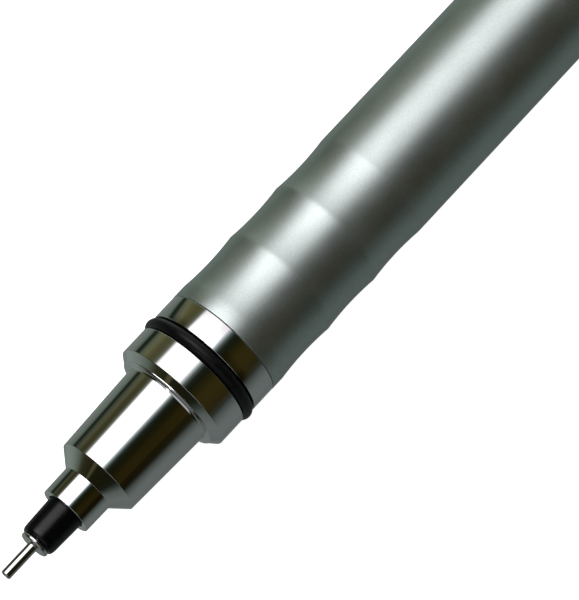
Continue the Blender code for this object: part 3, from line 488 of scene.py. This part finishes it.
RING_WIRE_R = 0.6
RING_STEPS = 40                  # round its own section

ring_section = []
for step in range(RING_STEPS):
    angle = 2 * math.pi * step / RING_STEPS
    ring_section.append((RING_PLACE + RING_WIRE_R * math.cos(angle),
                         RING_MIDDLE_R + RING_WIRE_R * math.sin(angle)))
o_ring = lathe("rubber_ring", ring_section, ring_rubber)
settle(o_ring, "barrel", "ring_rubber", "nose_o_ring")

# ---------------------------------------------------------------- grip

GRIP_START = 26.09
GRIP_END = 69.75
BARREL_R = 5.45
BORE_R = 4.2
FIRST_CREST = 27.36
SCALLOP_PITCH = 5.62
SCALLOP_DEPTH = 0.15
SCALLOPS = 3
SCALLOP_STEPS = 24

grip_corners = [(GRIP_START, BORE_R), (GRIP_START, BARREL_R, 0.05), (FIRST_CREST, BARREL_R)]
for scallop in range(SCALLOPS):
    for step in range(1, SCALLOP_STEPS + 1):
        share = step / SCALLOP_STEPS
        depth = SCALLOP_DEPTH * (1 - (2 * share - 1) ** 2)
        grip_corners.append((FIRST_CREST + (scallop + share) * SCALLOP_PITCH, BARREL_R - depth))
grip_corners += [(GRIP_END, BARREL_R, 0.05), (GRIP_END, BORE_R)]
grip = lathe("grip_sleeve", grip_corners, grip_metal, segments=200)
settle(grip, "barrel", "grip_aluminium", "grip")

# ---------------------------------------------------------------- rear

WINDOW_START = 69.8
WINDOW_END = 76.2
WINDOW_R = 5.39

window = lathe("window_tube", [
    (WINDOW_START, BORE_R), (WINDOW_START, WINDOW_R, 0.05), (WINDOW_END, WINDOW_R, 0.05),
    (WINDOW_END, BORE_R)], window_clear)
settle(window, "barrel", "clear_plastic", "window")

BARREL_START = 76.25
BARREL_END = 121.55
STEP_START = 96.05               # step under the button's spring
STEP_END = 97.55
STEP_BORE_R = 2.45

barrel = lathe("barrel_tube", [
    (BARREL_START, BORE_R), (BARREL_START, BARREL_R, 0.05), (BARREL_END, BARREL_R, 0.05),
    (BARREL_END, BORE_R), (STEP_END, BORE_R), (STEP_END, STEP_BORE_R), (STEP_START, STEP_BORE_R),
    (STEP_START, BORE_R)], barrel_metal)
settle(barrel, "barrel", "barrel_aluminium", "rear_barrel")

HOUSING_START = 66.4
HOUSING_END = 90.0
HOUSING_FLOOR_END = 67.6
HOUSING_R = 4.15
HOUSING_BORE_R = 3.65
HOUSING_PASSAGE_R = 2.75

housing = lathe("cam_cylinder", [
    (HOUSING_START, HOUSING_PASSAGE_R), (HOUSING_START, HOUSING_R, 0.06),
    (HOUSING_END, HOUSING_R, 0.06), (HOUSING_END, HOUSING_BORE_R),
    (HOUSING_FLOOR_END, HOUSING_BORE_R), (HOUSING_FLOOR_END, HOUSING_PASSAGE_R)],
    housing_clear)
settle(housing, "barrel", "clear_plastic", "cam_housing")

SPIGOT_START = 116.0              # collar's spigot, inside the rear barrel
SPIGOT_R = 4.15
COLLAR_START = 121.6
COLLAR_END = 131.0
COLLAR_R = 5.635
COLLAR_END_R = 4.4
COLLAR_BORE_R = 3.0
DOME_START = 127.4
DOME_STEPS = 28

collar_corners = [(SPIGOT_START, SPIGOT_R, 0.08), (COLLAR_START, SPIGOT_R)]
collar_corners.append((COLLAR_START, COLLAR_R, 0.25))
for step in range(DOME_STEPS + 1):
    angle = math.pi / 2 * step / DOME_STEPS
    place = DOME_START + (COLLAR_END - DOME_START) * math.sin(angle)
    collar_corners.append((place, COLLAR_END_R + (COLLAR_R - COLLAR_END_R) * math.cos(angle)))
collar_corners += [(COLLAR_END, COLLAR_BORE_R, 0.08), (SPIGOT_START, COLLAR_BORE_R)]
collar = lathe("tail_collar", collar_corners, trim_chrome)

ROD_START = 114.45
ROD_FLANGE_END = 115.95
ROD_FLANGE_R = 3.6
ROD_R = 2.9
ROD_END = 138.5
ROD_SHOULDER = 120.35            # pushes on the lead tube's end
ROD_SOCKET_R = 1.85              # for the lead tube
ROD_PASSAGE_R = 1.25
ERASER_SEAT = 131.45
ERASER_SEAT_R = 2.2

rod = lathe("button_rod", [
    (ROD_START, ROD_SOCKET_R), (ROD_START, ROD_FLANGE_R, 0.1), (ROD_FLANGE_END, ROD_FLANGE_R, 0.1),
    (ROD_FLANGE_END, ROD_R), (ROD_END, ROD_R, 0.1), (ROD_END, ERASER_SEAT_R, 0.1),
    (ERASER_SEAT, ERASER_SEAT_R), (ERASER_SEAT, ROD_PASSAGE_R), (ROD_SHOULDER, ROD_PASSAGE_R),
    (ROD_SHOULDER, ROD_SOCKET_R)],
    grey_plastic, segments=SMALL_SEGMENTS)
settle(rod, "button", "grey_plastic", "push_rod")

ERASER_START = 131.5
ERASER_END = 141.8
ERASER_R = 2.15

eraser = lathe("eraser_plug", [
    (ERASER_START, 0.0), (ERASER_START, ERASER_R, 0.1), (ERASER_END, ERASER_R, 0.32),
    (ERASER_END, 0.0)],
    vinyl, closed=False, segments=SMALL_SEGMENTS)
settle(eraser, "button", "eraser_vinyl", "eraser")

CAP_START = 133.4
CAP_END = 144.0
CAP_R = 3.75
CAP_BORE_R = 2.95
CAP_BORE_END = 138.55
CAP_POCKET_R = 2.3               # over the eraser
CAP_POCKET_END = 142.9

cap = lathe("push_cap", [
    (CAP_POCKET_END, 0.0), (CAP_POCKET_END, CAP_POCKET_R, 0.1), (CAP_BORE_END, CAP_POCKET_R),
    (CAP_BORE_END, CAP_BORE_R), (CAP_START, CAP_BORE_R, 0.1), (CAP_START, CAP_R, 0.2),
    (CAP_END, CAP_R, 0.5), (CAP_END, 0.0)],
    trim_chrome, closed=False, steps=8)
settle(cap, "cap", "chrome_trim", "button_cap")

# ---------------------------------------------------------------- clip

CLIP_T = 0.75
CLIP_W = 4.4
CLIP_TIP_W = 3.4
CLIP_END = -38.0
CLIP_BEND_R = 1.3
CLIP_EDGE = 0.14
CLIP_PLAN_ROUNDING = 0.8
SLOT_GAP = 0.12                  # between the clip's tab and the collar's slot
SLOT_HEIGHTS = (-0.37, 2.0)      # from the hinge, outwards
SLOT_SHARP_ANGLE = 30

hinge = next(joint for joint in frame["joints"] if joint["name"] == "clip_flex")
clip_hinge = Vector(hinge["pos_m"])
clip_outward = (clip_hinge - Vector((clip_hinge.x, axis_y, axis_z))).normalized()
clip_across = clip_outward.cross(Vector((1.0, 0.0, 0.0)))


def clip_point(along_clip, height, across_clip):
    """A place in the clip's own frame: along the pencil, out from its hinge and across the clip."""
    offset = Vector((along_clip, 0.0, 0.0)) + clip_outward * height + clip_across * across_clip
    return clip_hinge + offset * MM


def rounded_section(half_t, half_w, rounding, steps=4):
    """Points round a strip's section, as (through the strip, across it)."""
    points = []
    for turn, (side_t, side_w) in enumerate(((1, 1), (-1, 1), (-1, -1), (1, -1))):
        for step in range(steps + 1):
            angle = math.pi / 2 * (turn + step / steps)
            points.append((side_t * (half_t - rounding) + rounding * math.cos(angle),
                           side_w * (half_w - rounding) + rounding * math.sin(angle)))
    return points


def clip_half_width(along_clip, left):
    """Half of the clip's width, tapering to the tip and rounded at its corners."""
    share = min(max((-along_clip - CLIP_BEND_R) / (-CLIP_END - CLIP_BEND_R), 0.0), 1.0)
    half = (CLIP_W + (CLIP_TIP_W - CLIP_W) * share) / 2
    if left < CLIP_PLAN_ROUNDING:
        short = CLIP_PLAN_ROUNDING - left
        half -= CLIP_PLAN_ROUNDING - math.sqrt(max(CLIP_PLAN_ROUNDING ** 2 - short ** 2, 0.0))
    return half


def make_clip():
    """A bent strip of spring steel with rounded edges."""
    path = outline([(0.0, -0.25), (0.0, 3.2, CLIP_BEND_R), (-34.6, 1.635, 1.5), (-36.3, 0.625, 1.6),
                    (CLIP_END, 1.635)], closed=False, steps=14)
    last = path.pop()
    before = path[-1]
    for share in (0.3, 0.45, 0.6, 0.7, 0.78, 0.85, 0.9, 0.94, 0.97, 0.99, 1.0):
        path.append(before.lerp(last, share))
    bm = bmesh.new()
    sections = []
    for number, point in enumerate(path):
        ahead = path[min(number + 1, len(path) - 1)]
        behind = path[max(number - 1, 0)]
        heading = (ahead - behind).normalized()
        normal = Vector((heading.y, -heading.x))
        left = (last - point).length
        half_w = clip_half_width(point.x, left)
        thinner = 0.1 * max(1.0 - left / 0.1, 0.0) ** 2
        section = []
        for through, sideways in rounded_section(CLIP_T / 2 - thinner, half_w, CLIP_EDGE):
            spot = point + normal * through
            section.append(bm.verts.new(clip_point(spot.x, spot.y, sideways)))
        sections.append(section)
    for section, after in zip(sections, sections[1:]):
        for side in range(len(section)):
            other = (side + 1) % len(section)
            bm.faces.new((section[side], section[other], after[other], after[side]))
    bm.faces.new(sections[0])
    bm.faces.new(sections[-1][::-1])
    return new_piece("pocket_clip", bm, clip_chrome)


clip = make_clip()
settle(clip, "clip", "chrome_trim", "clip")


def cut_clip_slot(piece):
    """The slot in the collar that holds the clip's tab."""
    half_t = CLIP_T / 2 + SLOT_GAP
    half_w = CLIP_W / 2 + SLOT_GAP
    around = ((-half_t, -half_w), (half_t, -half_w), (half_t, half_w), (-half_t, half_w))
    bm = bmesh.new()
    verts = []
    for height in SLOT_HEIGHTS:
        for along_clip, across_clip in around:
            verts.append(bm.verts.new(clip_point(along_clip, height, across_clip)))
    for face in ((0, 1, 2, 3), (7, 6, 5, 4), (0, 4, 5, 1), (1, 5, 6, 2), (2, 6, 7, 3), (3, 7, 4, 0)):
        bm.faces.new([verts[corner] for corner in face])
    cutter = new_piece("slot_cutter", bm, trim_chrome)
    piece.modifiers.clear()
    cut = piece.modifiers.new("slot", "BOOLEAN")
    cut.operation = "DIFFERENCE"
    cut.object = cutter
    graph = bpy.context.evaluated_depsgraph_get()
    mesh = bpy.data.meshes.new_from_object(piece.evaluated_get(graph))
    piece.modifiers.clear()
    piece.data = mesh
    mesh.set_sharp_from_angle(angle=math.radians(SLOT_SHARP_ANGLE))
    weigh = piece.modifiers.new("even_normals", "WEIGHTED_NORMAL")
    weigh.keep_sharp = True
    bpy.data.objects.remove(cutter)


cut_clip_slot(collar)
settle(collar, "barrel", "chrome_trim", "rear_collar")

# ---------------------------------------------------------------- springs

# Start, length, middle radius, wire radius, turns, body, joint, share of the length kept, anchored end
SPRINGS = {
    "cushion_spring": (79.3, 6.95, 2.75, 0.17, 5, "barrel", "writing_pressure", 0.964, 86.25),
    "button_spring": (97.6, 16.8, 2.675, 0.22, 9, "barrel", "button_press", 0.863, 97.6),
    "chuck_spring": (30.06, 13.9, 1.55, 0.18, 10, "rotor", "chuck_slide", 0.8345, 30.06),
}
for node, (start, length, middle_r, wire_r, turns, body, joint, share, anchor) in SPRINGS.items():
    spring = coil(node + "_wire", start, length, middle_r, wire_r, turns, spring_steel)
    settle(spring, body, "spring_steel", node)
    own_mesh(spring)

# ---------------------------------------------------------------- inner pieces that keep their CAD shape

kept = {
    "lead_retainer": gasket("retainer_rubber"),
    "chuck": turned_brass, "chuck_ring": turned_brass, "ring_stop": turned_brass,
    "chuck_connector": turned_brass,
    "rotor": cam_plastic, "lower_cam": cam_plastic, "upper_cam": cam_plastic,
    "inner_sleeve": grey_plastic, "rotor_sleeve": grey_plastic, "torque_canceller": grey_plastic,
    "spring_seat": grey_plastic, "lead_tube": grey_plastic,
    "spare_lead_1": lead_graphite, "spare_lead_2": lead_graphite,
}
for node, finish in kept.items():
    mesh_object = frame["nodes"][node]
    for material_slot in mesh_object.material_slots:
        material_slot.link = "OBJECT"
        material_slot.material = finish

# ---------------------------------------------------------------- camera

TILT = math.radians(14.8)        # of the pencil's tip towards the camera
ROLL_UP = math.radians(70.0)     # camera's height over the desk, seen along the pencil
CAMERA_DISTANCE = 394.0
AIM_X = 32.53                    # place on the axis nearest to the picture's middle
AIM_ASIDE = 1.556
HEADING = math.radians(46.96)    # of the pencil in the picture, upwards from level
LENS = 291.0
SENSOR_WIDTH = 36.0

to_camera = Vector((-math.sin(TILT),
                    -math.cos(TILT) * math.cos(ROLL_UP),
                    math.cos(TILT) * math.sin(ROLL_UP)))
along = Vector((1.0, 0.0, 0.0))
along_seen = (along - to_camera * along.dot(to_camera)).normalized()
aside = along_seen.cross(to_camera)
right = along_seen * math.cos(HEADING) + aside * math.sin(HEADING)
up = along_seen * math.sin(HEADING) - aside * math.cos(HEADING)

camera_data = bpy.data.cameras.new("camera")
camera_data.lens = LENS
camera_data.sensor_width = SENSOR_WIDTH
camera_data.clip_start = 0.01
camera_data.clip_end = 10.0
camera = bpy.data.objects.new("camera", camera_data)
bpy.context.scene.collection.objects.link(camera)
aim = ON_AXIS + along * (AIM_X * MM) + aside * (AIM_ASIDE * MM)
turn = Matrix((right, up, to_camera)).transposed().to_4x4()
camera.matrix_world = Matrix.Translation(aim + to_camera * (CAMERA_DISTANCE * MM)) @ turn
bpy.context.scene.camera = camera

# ---------------------------------------------------------------- studio

FLOOR_SIZE = 12.0                # metres
FLOOR_ROUGHNESS = 0.9
FLOOR_GLOW = 0.96                # keeps the floor evenly pale, with no shadow

floor_bm = bmesh.new()
bmesh.ops.create_grid(floor_bm, x_segments=8, y_segments=8, size=FLOOR_SIZE / 2)
floor_mesh = bpy.data.meshes.new("floor")
floor_bm.to_mesh(floor_mesh)
floor_bm.free()
floor = bpy.data.objects.new("floor", floor_mesh)
bpy.context.scene.collection.objects.link(floor)
floor_finish = Finish("floor_paper", (0.86, 0.86, 0.86), FLOOR_ROUGHNESS)
floor_finish.mottle(floor_finish.noise(0.6), 0.01)
floor_finish.shader.inputs["Roughness"].default_value = FLOOR_ROUGHNESS
floor_finish.shader.inputs["Specular IOR Level"].default_value = 0.0
floor_finish.shader.inputs["Emission Color"].default_value = (1.0, 1.0, 1.0, 1.0)
floor_finish.shader.inputs["Emission Strength"].default_value = FLOOR_GLOW
floor_mesh.materials.append(floor_finish.material)
floor.visible_glossy = False

# The room that the chrome mirrors. It is fixed in the world, and was fitted to the main view.
# STUDIO is what lies round the pencil, in degrees from the camera: negative is the far, upper side,
# where the softbox hangs, and positive the near, lower side.
STUDIO = [
    (-180, (0.19, 0.215, 0.20)),
    (-150, (0.20, 0.228, 0.21)),
    (-127, (0.15, 0.18, 0.155)),
    (-122, (0.11, 0.13, 0.11)),
    (-117, (0.02, 0.03, 0.02)),
    (-112, (0.008, 0.015, 0.009)),
    (-108, (0.035, 0.042, 0.028)),
    (-103, (0.10, 0.115, 0.078)),
    (-93, (0.142, 0.142, 0.075)),
    (-80, (0.085, 0.078, 0.032)),
    (-71, (0.085, 0.085, 0.045)),
    (-65, (0.14, 0.16, 0.12)),
    (-60, (1.0, 0.96, 1.0)),
    (-9, (1.0, 0.96, 1.0)),
    (-5, (0.45, 0.5, 0.52)),
    (0, (0.09, 0.11, 0.105)),
    (5, (0.014, 0.019, 0.013)),
    (12, (0.009, 0.011, 0.005)),
    (24, (0.022, 0.018, 0.004)),
    (34, (0.034, 0.025, 0.0055)),
    (50, (0.034, 0.025, 0.0055)),
    (66, (0.026, 0.020, 0.006)),
    (77, (0.032, 0.036, 0.027)),
    (84, (0.07, 0.083, 0.077)),
    (95, (0.115, 0.135, 0.13)),
    (106, (0.145, 0.167, 0.163)),
    (128, (0.15, 0.17, 0.168)),
    (150, (0.13, 0.145, 0.145)),
    (180, (0.19, 0.215, 0.20)),
]
# The room past the pencil's tip, on its far side and its near side. A stop's place is how far a direction
# points to the camera's side of the pencil, from -1 to 1.
TIP_ROOM_FAR = [
    (-1.0, (0.27, 0.31, 0.29)),
    (-0.5, (0.19, 0.225, 0.20)),
    (-0.27, (0.105, 0.128, 0.095)),
    (-0.18, (0.057, 0.064, 0.042)),
    (-0.11, (0.032, 0.032, 0.015)),
    (0.05, (0.020, 0.019, 0.009)),
    (0.12, (0.013, 0.012, 0.005)),
    (1.0, (0.010, 0.008, 0.003)),
]
TIP_ROOM_NEAR = [
    (-1.0, (0.14, 0.155, 0.155)),
    (-0.5, (0.16, 0.178, 0.175)),
    (-0.27, (0.127, 0.142, 0.133)),
    (-0.18, (0.11, 0.127, 0.118)),
    (-0.05, (0.04, 0.05, 0.04)),
    (0.03, (0.012, 0.014, 0.009)),
    (0.12, (0.010, 0.010, 0.004)),
    (1.0, (0.010, 0.008, 0.003)),
]

# Ranges ending in ALONG are of a direction's part along the pencil, towards its rear. Those ending in
# ASIDE and FACING are of its part across the picture and towards the camera. Windows are in degrees.
SOFTBOX_WINDOW = ((-63, -58), (-9, -3))
SOFTBOX_MIDDLE = -37
SOFTBOX_RADIANCE = 1.3
SOFTBOX_HOT_SPOT = 0.6
SOFTBOX_HOT_WIDTH = 14
SOFTBOX_FALLOFF = 2.2            # towards the pencil's rear
MIDDLE_ALONG = 0.27              # direction that the middle of the picture reflects
LINE_SLANT = 90                  # degrees that the far wall's dark line turns per unit along the pencil
LINE_ALONG = 0.22                # where the line is at its place in STUDIO
LINE_WINDOW = ((-140, -120), (-96, -80))
LINE_END_ALONG = (0.45, 0.6)
TIP_SIDES_ASIDE = (-0.25, 0.2)   # from the tip room's far side to its near side
PAST_TIP_ALONG = (-0.35, -0.1)
FAR_GLOW = (0.50, 0.61, 0.54, 1.0)
FAR_GLOW_WINDOW = ((-160, -130), (-85, -66))
FAR_GLOW_ALONG = (0.36, 0.52)
TIP_BOX = (0.45, 0.46, 0.47, 1.0)
TIP_BOX_ALONG = (-0.6, -0.42)
TIP_BOX_FACING = (0.25, 0.4)
REAR_BOX = (0.62, 0.64, 0.66, 1.0)
REAR_BOX_ASIDE = (-0.3, 0.0)
REAR_WALL = (0.10, 0.11, 0.105, 1.0)
PAST_REAR_ALONG = (0.58, 0.70)
DARKER_ALONG = (0.13, 0.22)      # walls are darker on the tip's side of this
OLIVE_WINDOW = ((-104, -99), (-74, -66))
OLIVE_DARKER = 0.5
BROWN_WINDOW = ((10, 20), (72, 78))
BROWN_DARKER = 0.4
EDGE_WINDOW = ((51, 57), (72, 78))
EDGE_DARKER = 0.3
STRIP_LAMP = 4.0
STRIP_ASIDE = ((-0.33, -0.28), (-0.24, -0.18))
STRIP_FACING = (-0.05, 0.1)

world = bpy.data.worlds.new("studio")
bpy.context.scene.world = world
world.use_nodes = True
nodes = world.node_tree.nodes
links = world.node_tree.links
nodes.clear()


def world_math(operation, first, second=None, third=None):
    """Result of a Math node on numbers or on other nodes' outputs."""
    node = nodes.new("ShaderNodeMath")
    node.operation = operation
    for socket, value in zip(node.inputs, (first, second, third)):
        if value is None:
            continue
        if isinstance(value, (int, float)):
            socket.default_value = value
        else:
            links.new(value, socket)
    return node.outputs["Value"]


def world_dot(direction):
    """The part of a looked-up direction that lies along a fixed one."""
    node = nodes.new("ShaderNodeVectorMath")
    node.operation = "DOT_PRODUCT"
    links.new(look.outputs["Generated"], node.inputs[0])
    node.inputs[1].default_value = direction
    return node.outputs["Value"]


def world_range(value, low, high, to_low, to_high):
    """A smooth step between two amounts as the value goes from low to high."""
    node = nodes.new("ShaderNodeMapRange")
    node.interpolation_type = "SMOOTHSTEP"
    for socket, amount in zip(("From Min", "From Max", "To Min", "To Max"), (low, high, to_low, to_high)):
        node.inputs[socket].default_value = amount
    links.new(value, node.inputs["Value"])
    return node.outputs["Result"]


def world_window(value, rise, fall):
    """One between the two edges, and falling smoothly to nothing outside them."""
    return world_math("MULTIPLY", world_range(value, *rise, 0.0, 1.0), world_range(value, *fall, 1.0, 0.0))


def world_ramp(share, low, high, stops):
    """Colour from a table whose places run from low to high."""
    node = nodes.new("ShaderNodeValToRGB")
    elements = node.color_ramp.elements
    while len(elements) < len(stops):
        elements.new(0.5)
    for element, (place, color) in zip(elements, stops):
        element.position = (place - low) / (high - low)
    for element, (place, color) in zip(elements, stops):
        element.color = (*color, 1.0)
    links.new(share, node.inputs["Fac"])
    return node.outputs["Color"]


def world_mix(share, first, second):
    """One colour where the share is 0, and the other where it is 1."""
    node = nodes.new("ShaderNodeMix")
    node.data_type = "RGBA"
    links.new(share, node.inputs["Factor"])
    links.new(first, node.inputs[6])
    links.new(second, node.inputs[7])
    return node.outputs[2]


def world_color(color):
    """One colour everywhere."""
    node = nodes.new("ShaderNodeRGB")
    node.outputs["Color"].default_value = color
    return node.outputs["Color"]


look = nodes.new("ShaderNodeTexCoord")
facing = (to_camera - along * to_camera.dot(along)).normalized()
dot_facing = world_dot(facing)
dot_aside = world_dot(along.cross(facing))
dot_along = world_dot(along)
around = world_math("ARCTAN2", dot_aside, dot_facing)
turn_share = world_math("MULTIPLY_ADD", around, 1 / (2 * math.pi), 0.5)
degrees = world_math("MULTIPLY", around, 180 / math.pi)

# The dark line on the far wall slants, so it is looked up further round towards the pencil's tip
slant = world_math("MULTIPLY_ADD", dot_along, LINE_SLANT, -LINE_SLANT * LINE_ALONG)
slant = world_math("MULTIPLY", slant, world_window(degrees, *LINE_WINDOW))
slant = world_math("MULTIPLY", slant, world_range(dot_along, *LINE_END_ALONG, 1.0, 0.0))
bands = world_ramp(world_math("MULTIPLY_ADD", slant, 1 / 360, turn_share), -180, 180, STUDIO)
height_share = world_math("MULTIPLY_ADD", dot_facing, 0.5, 0.5)
far_side = world_ramp(height_share, -1.0, 1.0, TIP_ROOM_FAR)
near_side = world_ramp(height_share, -1.0, 1.0, TIP_ROOM_NEAR)
tip_room = world_mix(world_range(dot_aside, *TIP_SIDES_ASIDE, 0.0, 1.0), far_side, near_side)
past_tip = world_range(dot_along, *PAST_TIP_ALONG, 1.0, 0.0)
room = world_mix(past_tip, bands, tip_room)

# A pale wall on the far side, behind the pencil's rear
behind = world_range(dot_along, *FAR_GLOW_ALONG, 0.0, 1.0)
room = world_mix(world_math("MULTIPLY", world_window(degrees, *FAR_GLOW_WINDOW), behind),
                 room, world_color(FAR_GLOW))

# Large soft lights high over the tip and over the rear, for views that the main softbox doesn't reach
over_tip = world_math("MULTIPLY", world_range(dot_along, *TIP_BOX_ALONG, 1.0, 0.0),
                      world_range(dot_facing, *TIP_BOX_FACING, 0.0, 1.0))
room = world_mix(over_tip, room, world_color(TIP_BOX))
past_rear = world_range(dot_along, *PAST_REAR_ALONG, 0.0, 1.0)
room = world_mix(past_rear, room, world_color(REAR_WALL))
over_rear = world_math("MULTIPLY", past_rear, world_range(dot_aside, *REAR_BOX_ASIDE, 1.0, 0.0))
room = world_mix(over_rear, room, world_color(REAR_BOX))

# The softbox has a hot middle, and is brightest towards the pencil's tip
in_box = world_window(degrees, *SOFTBOX_WINDOW)
from_middle = world_math("MULTIPLY_ADD", degrees, 1 / SOFTBOX_HOT_WIDTH,
                         -SOFTBOX_MIDDLE / SOFTBOX_HOT_WIDTH)
squared = world_math("MULTIPLY", from_middle, from_middle)
hot_spot = world_math("EXPONENT", world_math("MULTIPLY", squared, -1.0))
box = world_math("MULTIPLY_ADD", hot_spot, SOFTBOX_HOT_SPOT, SOFTBOX_RADIANCE)
falloff = world_math("MULTIPLY_ADD", dot_along, -SOFTBOX_FALLOFF, SOFTBOX_FALLOFF * MIDDLE_ALONG)
box = world_math("MULTIPLY", box, world_math("EXPONENT", falloff))
box_share = world_math("MULTIPLY", in_box, world_math("SUBTRACT", 1.0, past_rear))
boost = world_math("MULTIPLY_ADD", box_share, world_math("ADD", box, -1.0), 1.0)

# Towards the tip, the room's olive and brown walls are darker, and a black edge ends the brown one
nearer_tip = world_range(dot_along, *DARKER_ALONG, 1.0, 0.0)
olive = world_math("MULTIPLY", world_window(degrees, *OLIVE_WINDOW), OLIVE_DARKER)
brown = world_math("MULTIPLY", world_window(degrees, *BROWN_WINDOW), BROWN_DARKER)
edge = world_math("MULTIPLY", world_window(degrees, *EDGE_WINDOW), EDGE_DARKER)
darker = world_math("ADD", world_math("ADD", olive, brown), edge)
darker = world_math("MULTIPLY", darker, nearer_tip)
boost = world_math("MULTIPLY", boost, world_math("MULTIPLY_ADD", darker, -1.0, 1.0))

# A dim strip of light over the tip
strip = world_math("MULTIPLY", world_window(dot_aside, *STRIP_ASIDE),
                   world_range(dot_facing, *STRIP_FACING, 0.0, 1.0))
strip = world_math("MULTIPLY_ADD", strip, STRIP_LAMP, 1.0)
boost = world_math("MULTIPLY_ADD", world_math("SUBTRACT", strip, boost), past_tip, boost)

glow = nodes.new("ShaderNodeBackground")
links.new(room, glow.inputs["Color"])
links.new(boost, glow.inputs["Strength"])
plain = nodes.new("ShaderNodeBackground")
plain.inputs["Color"].default_value = (1.0, 1.0, 1.0, 1.0)
choose = nodes.new("ShaderNodeMixShader")
light_path = nodes.new("ShaderNodeLightPath")
links.new(light_path.outputs["Is Camera Ray"], choose.inputs["Fac"])
links.new(glow.outputs["Background"], choose.inputs[1])
links.new(plain.outputs["Background"], choose.inputs[2])
result = nodes.new("ShaderNodeOutputWorld")
links.new(choose.outputs["Shader"], result.inputs["Surface"])

bpy.context.scene.view_settings.view_transform = "Standard"
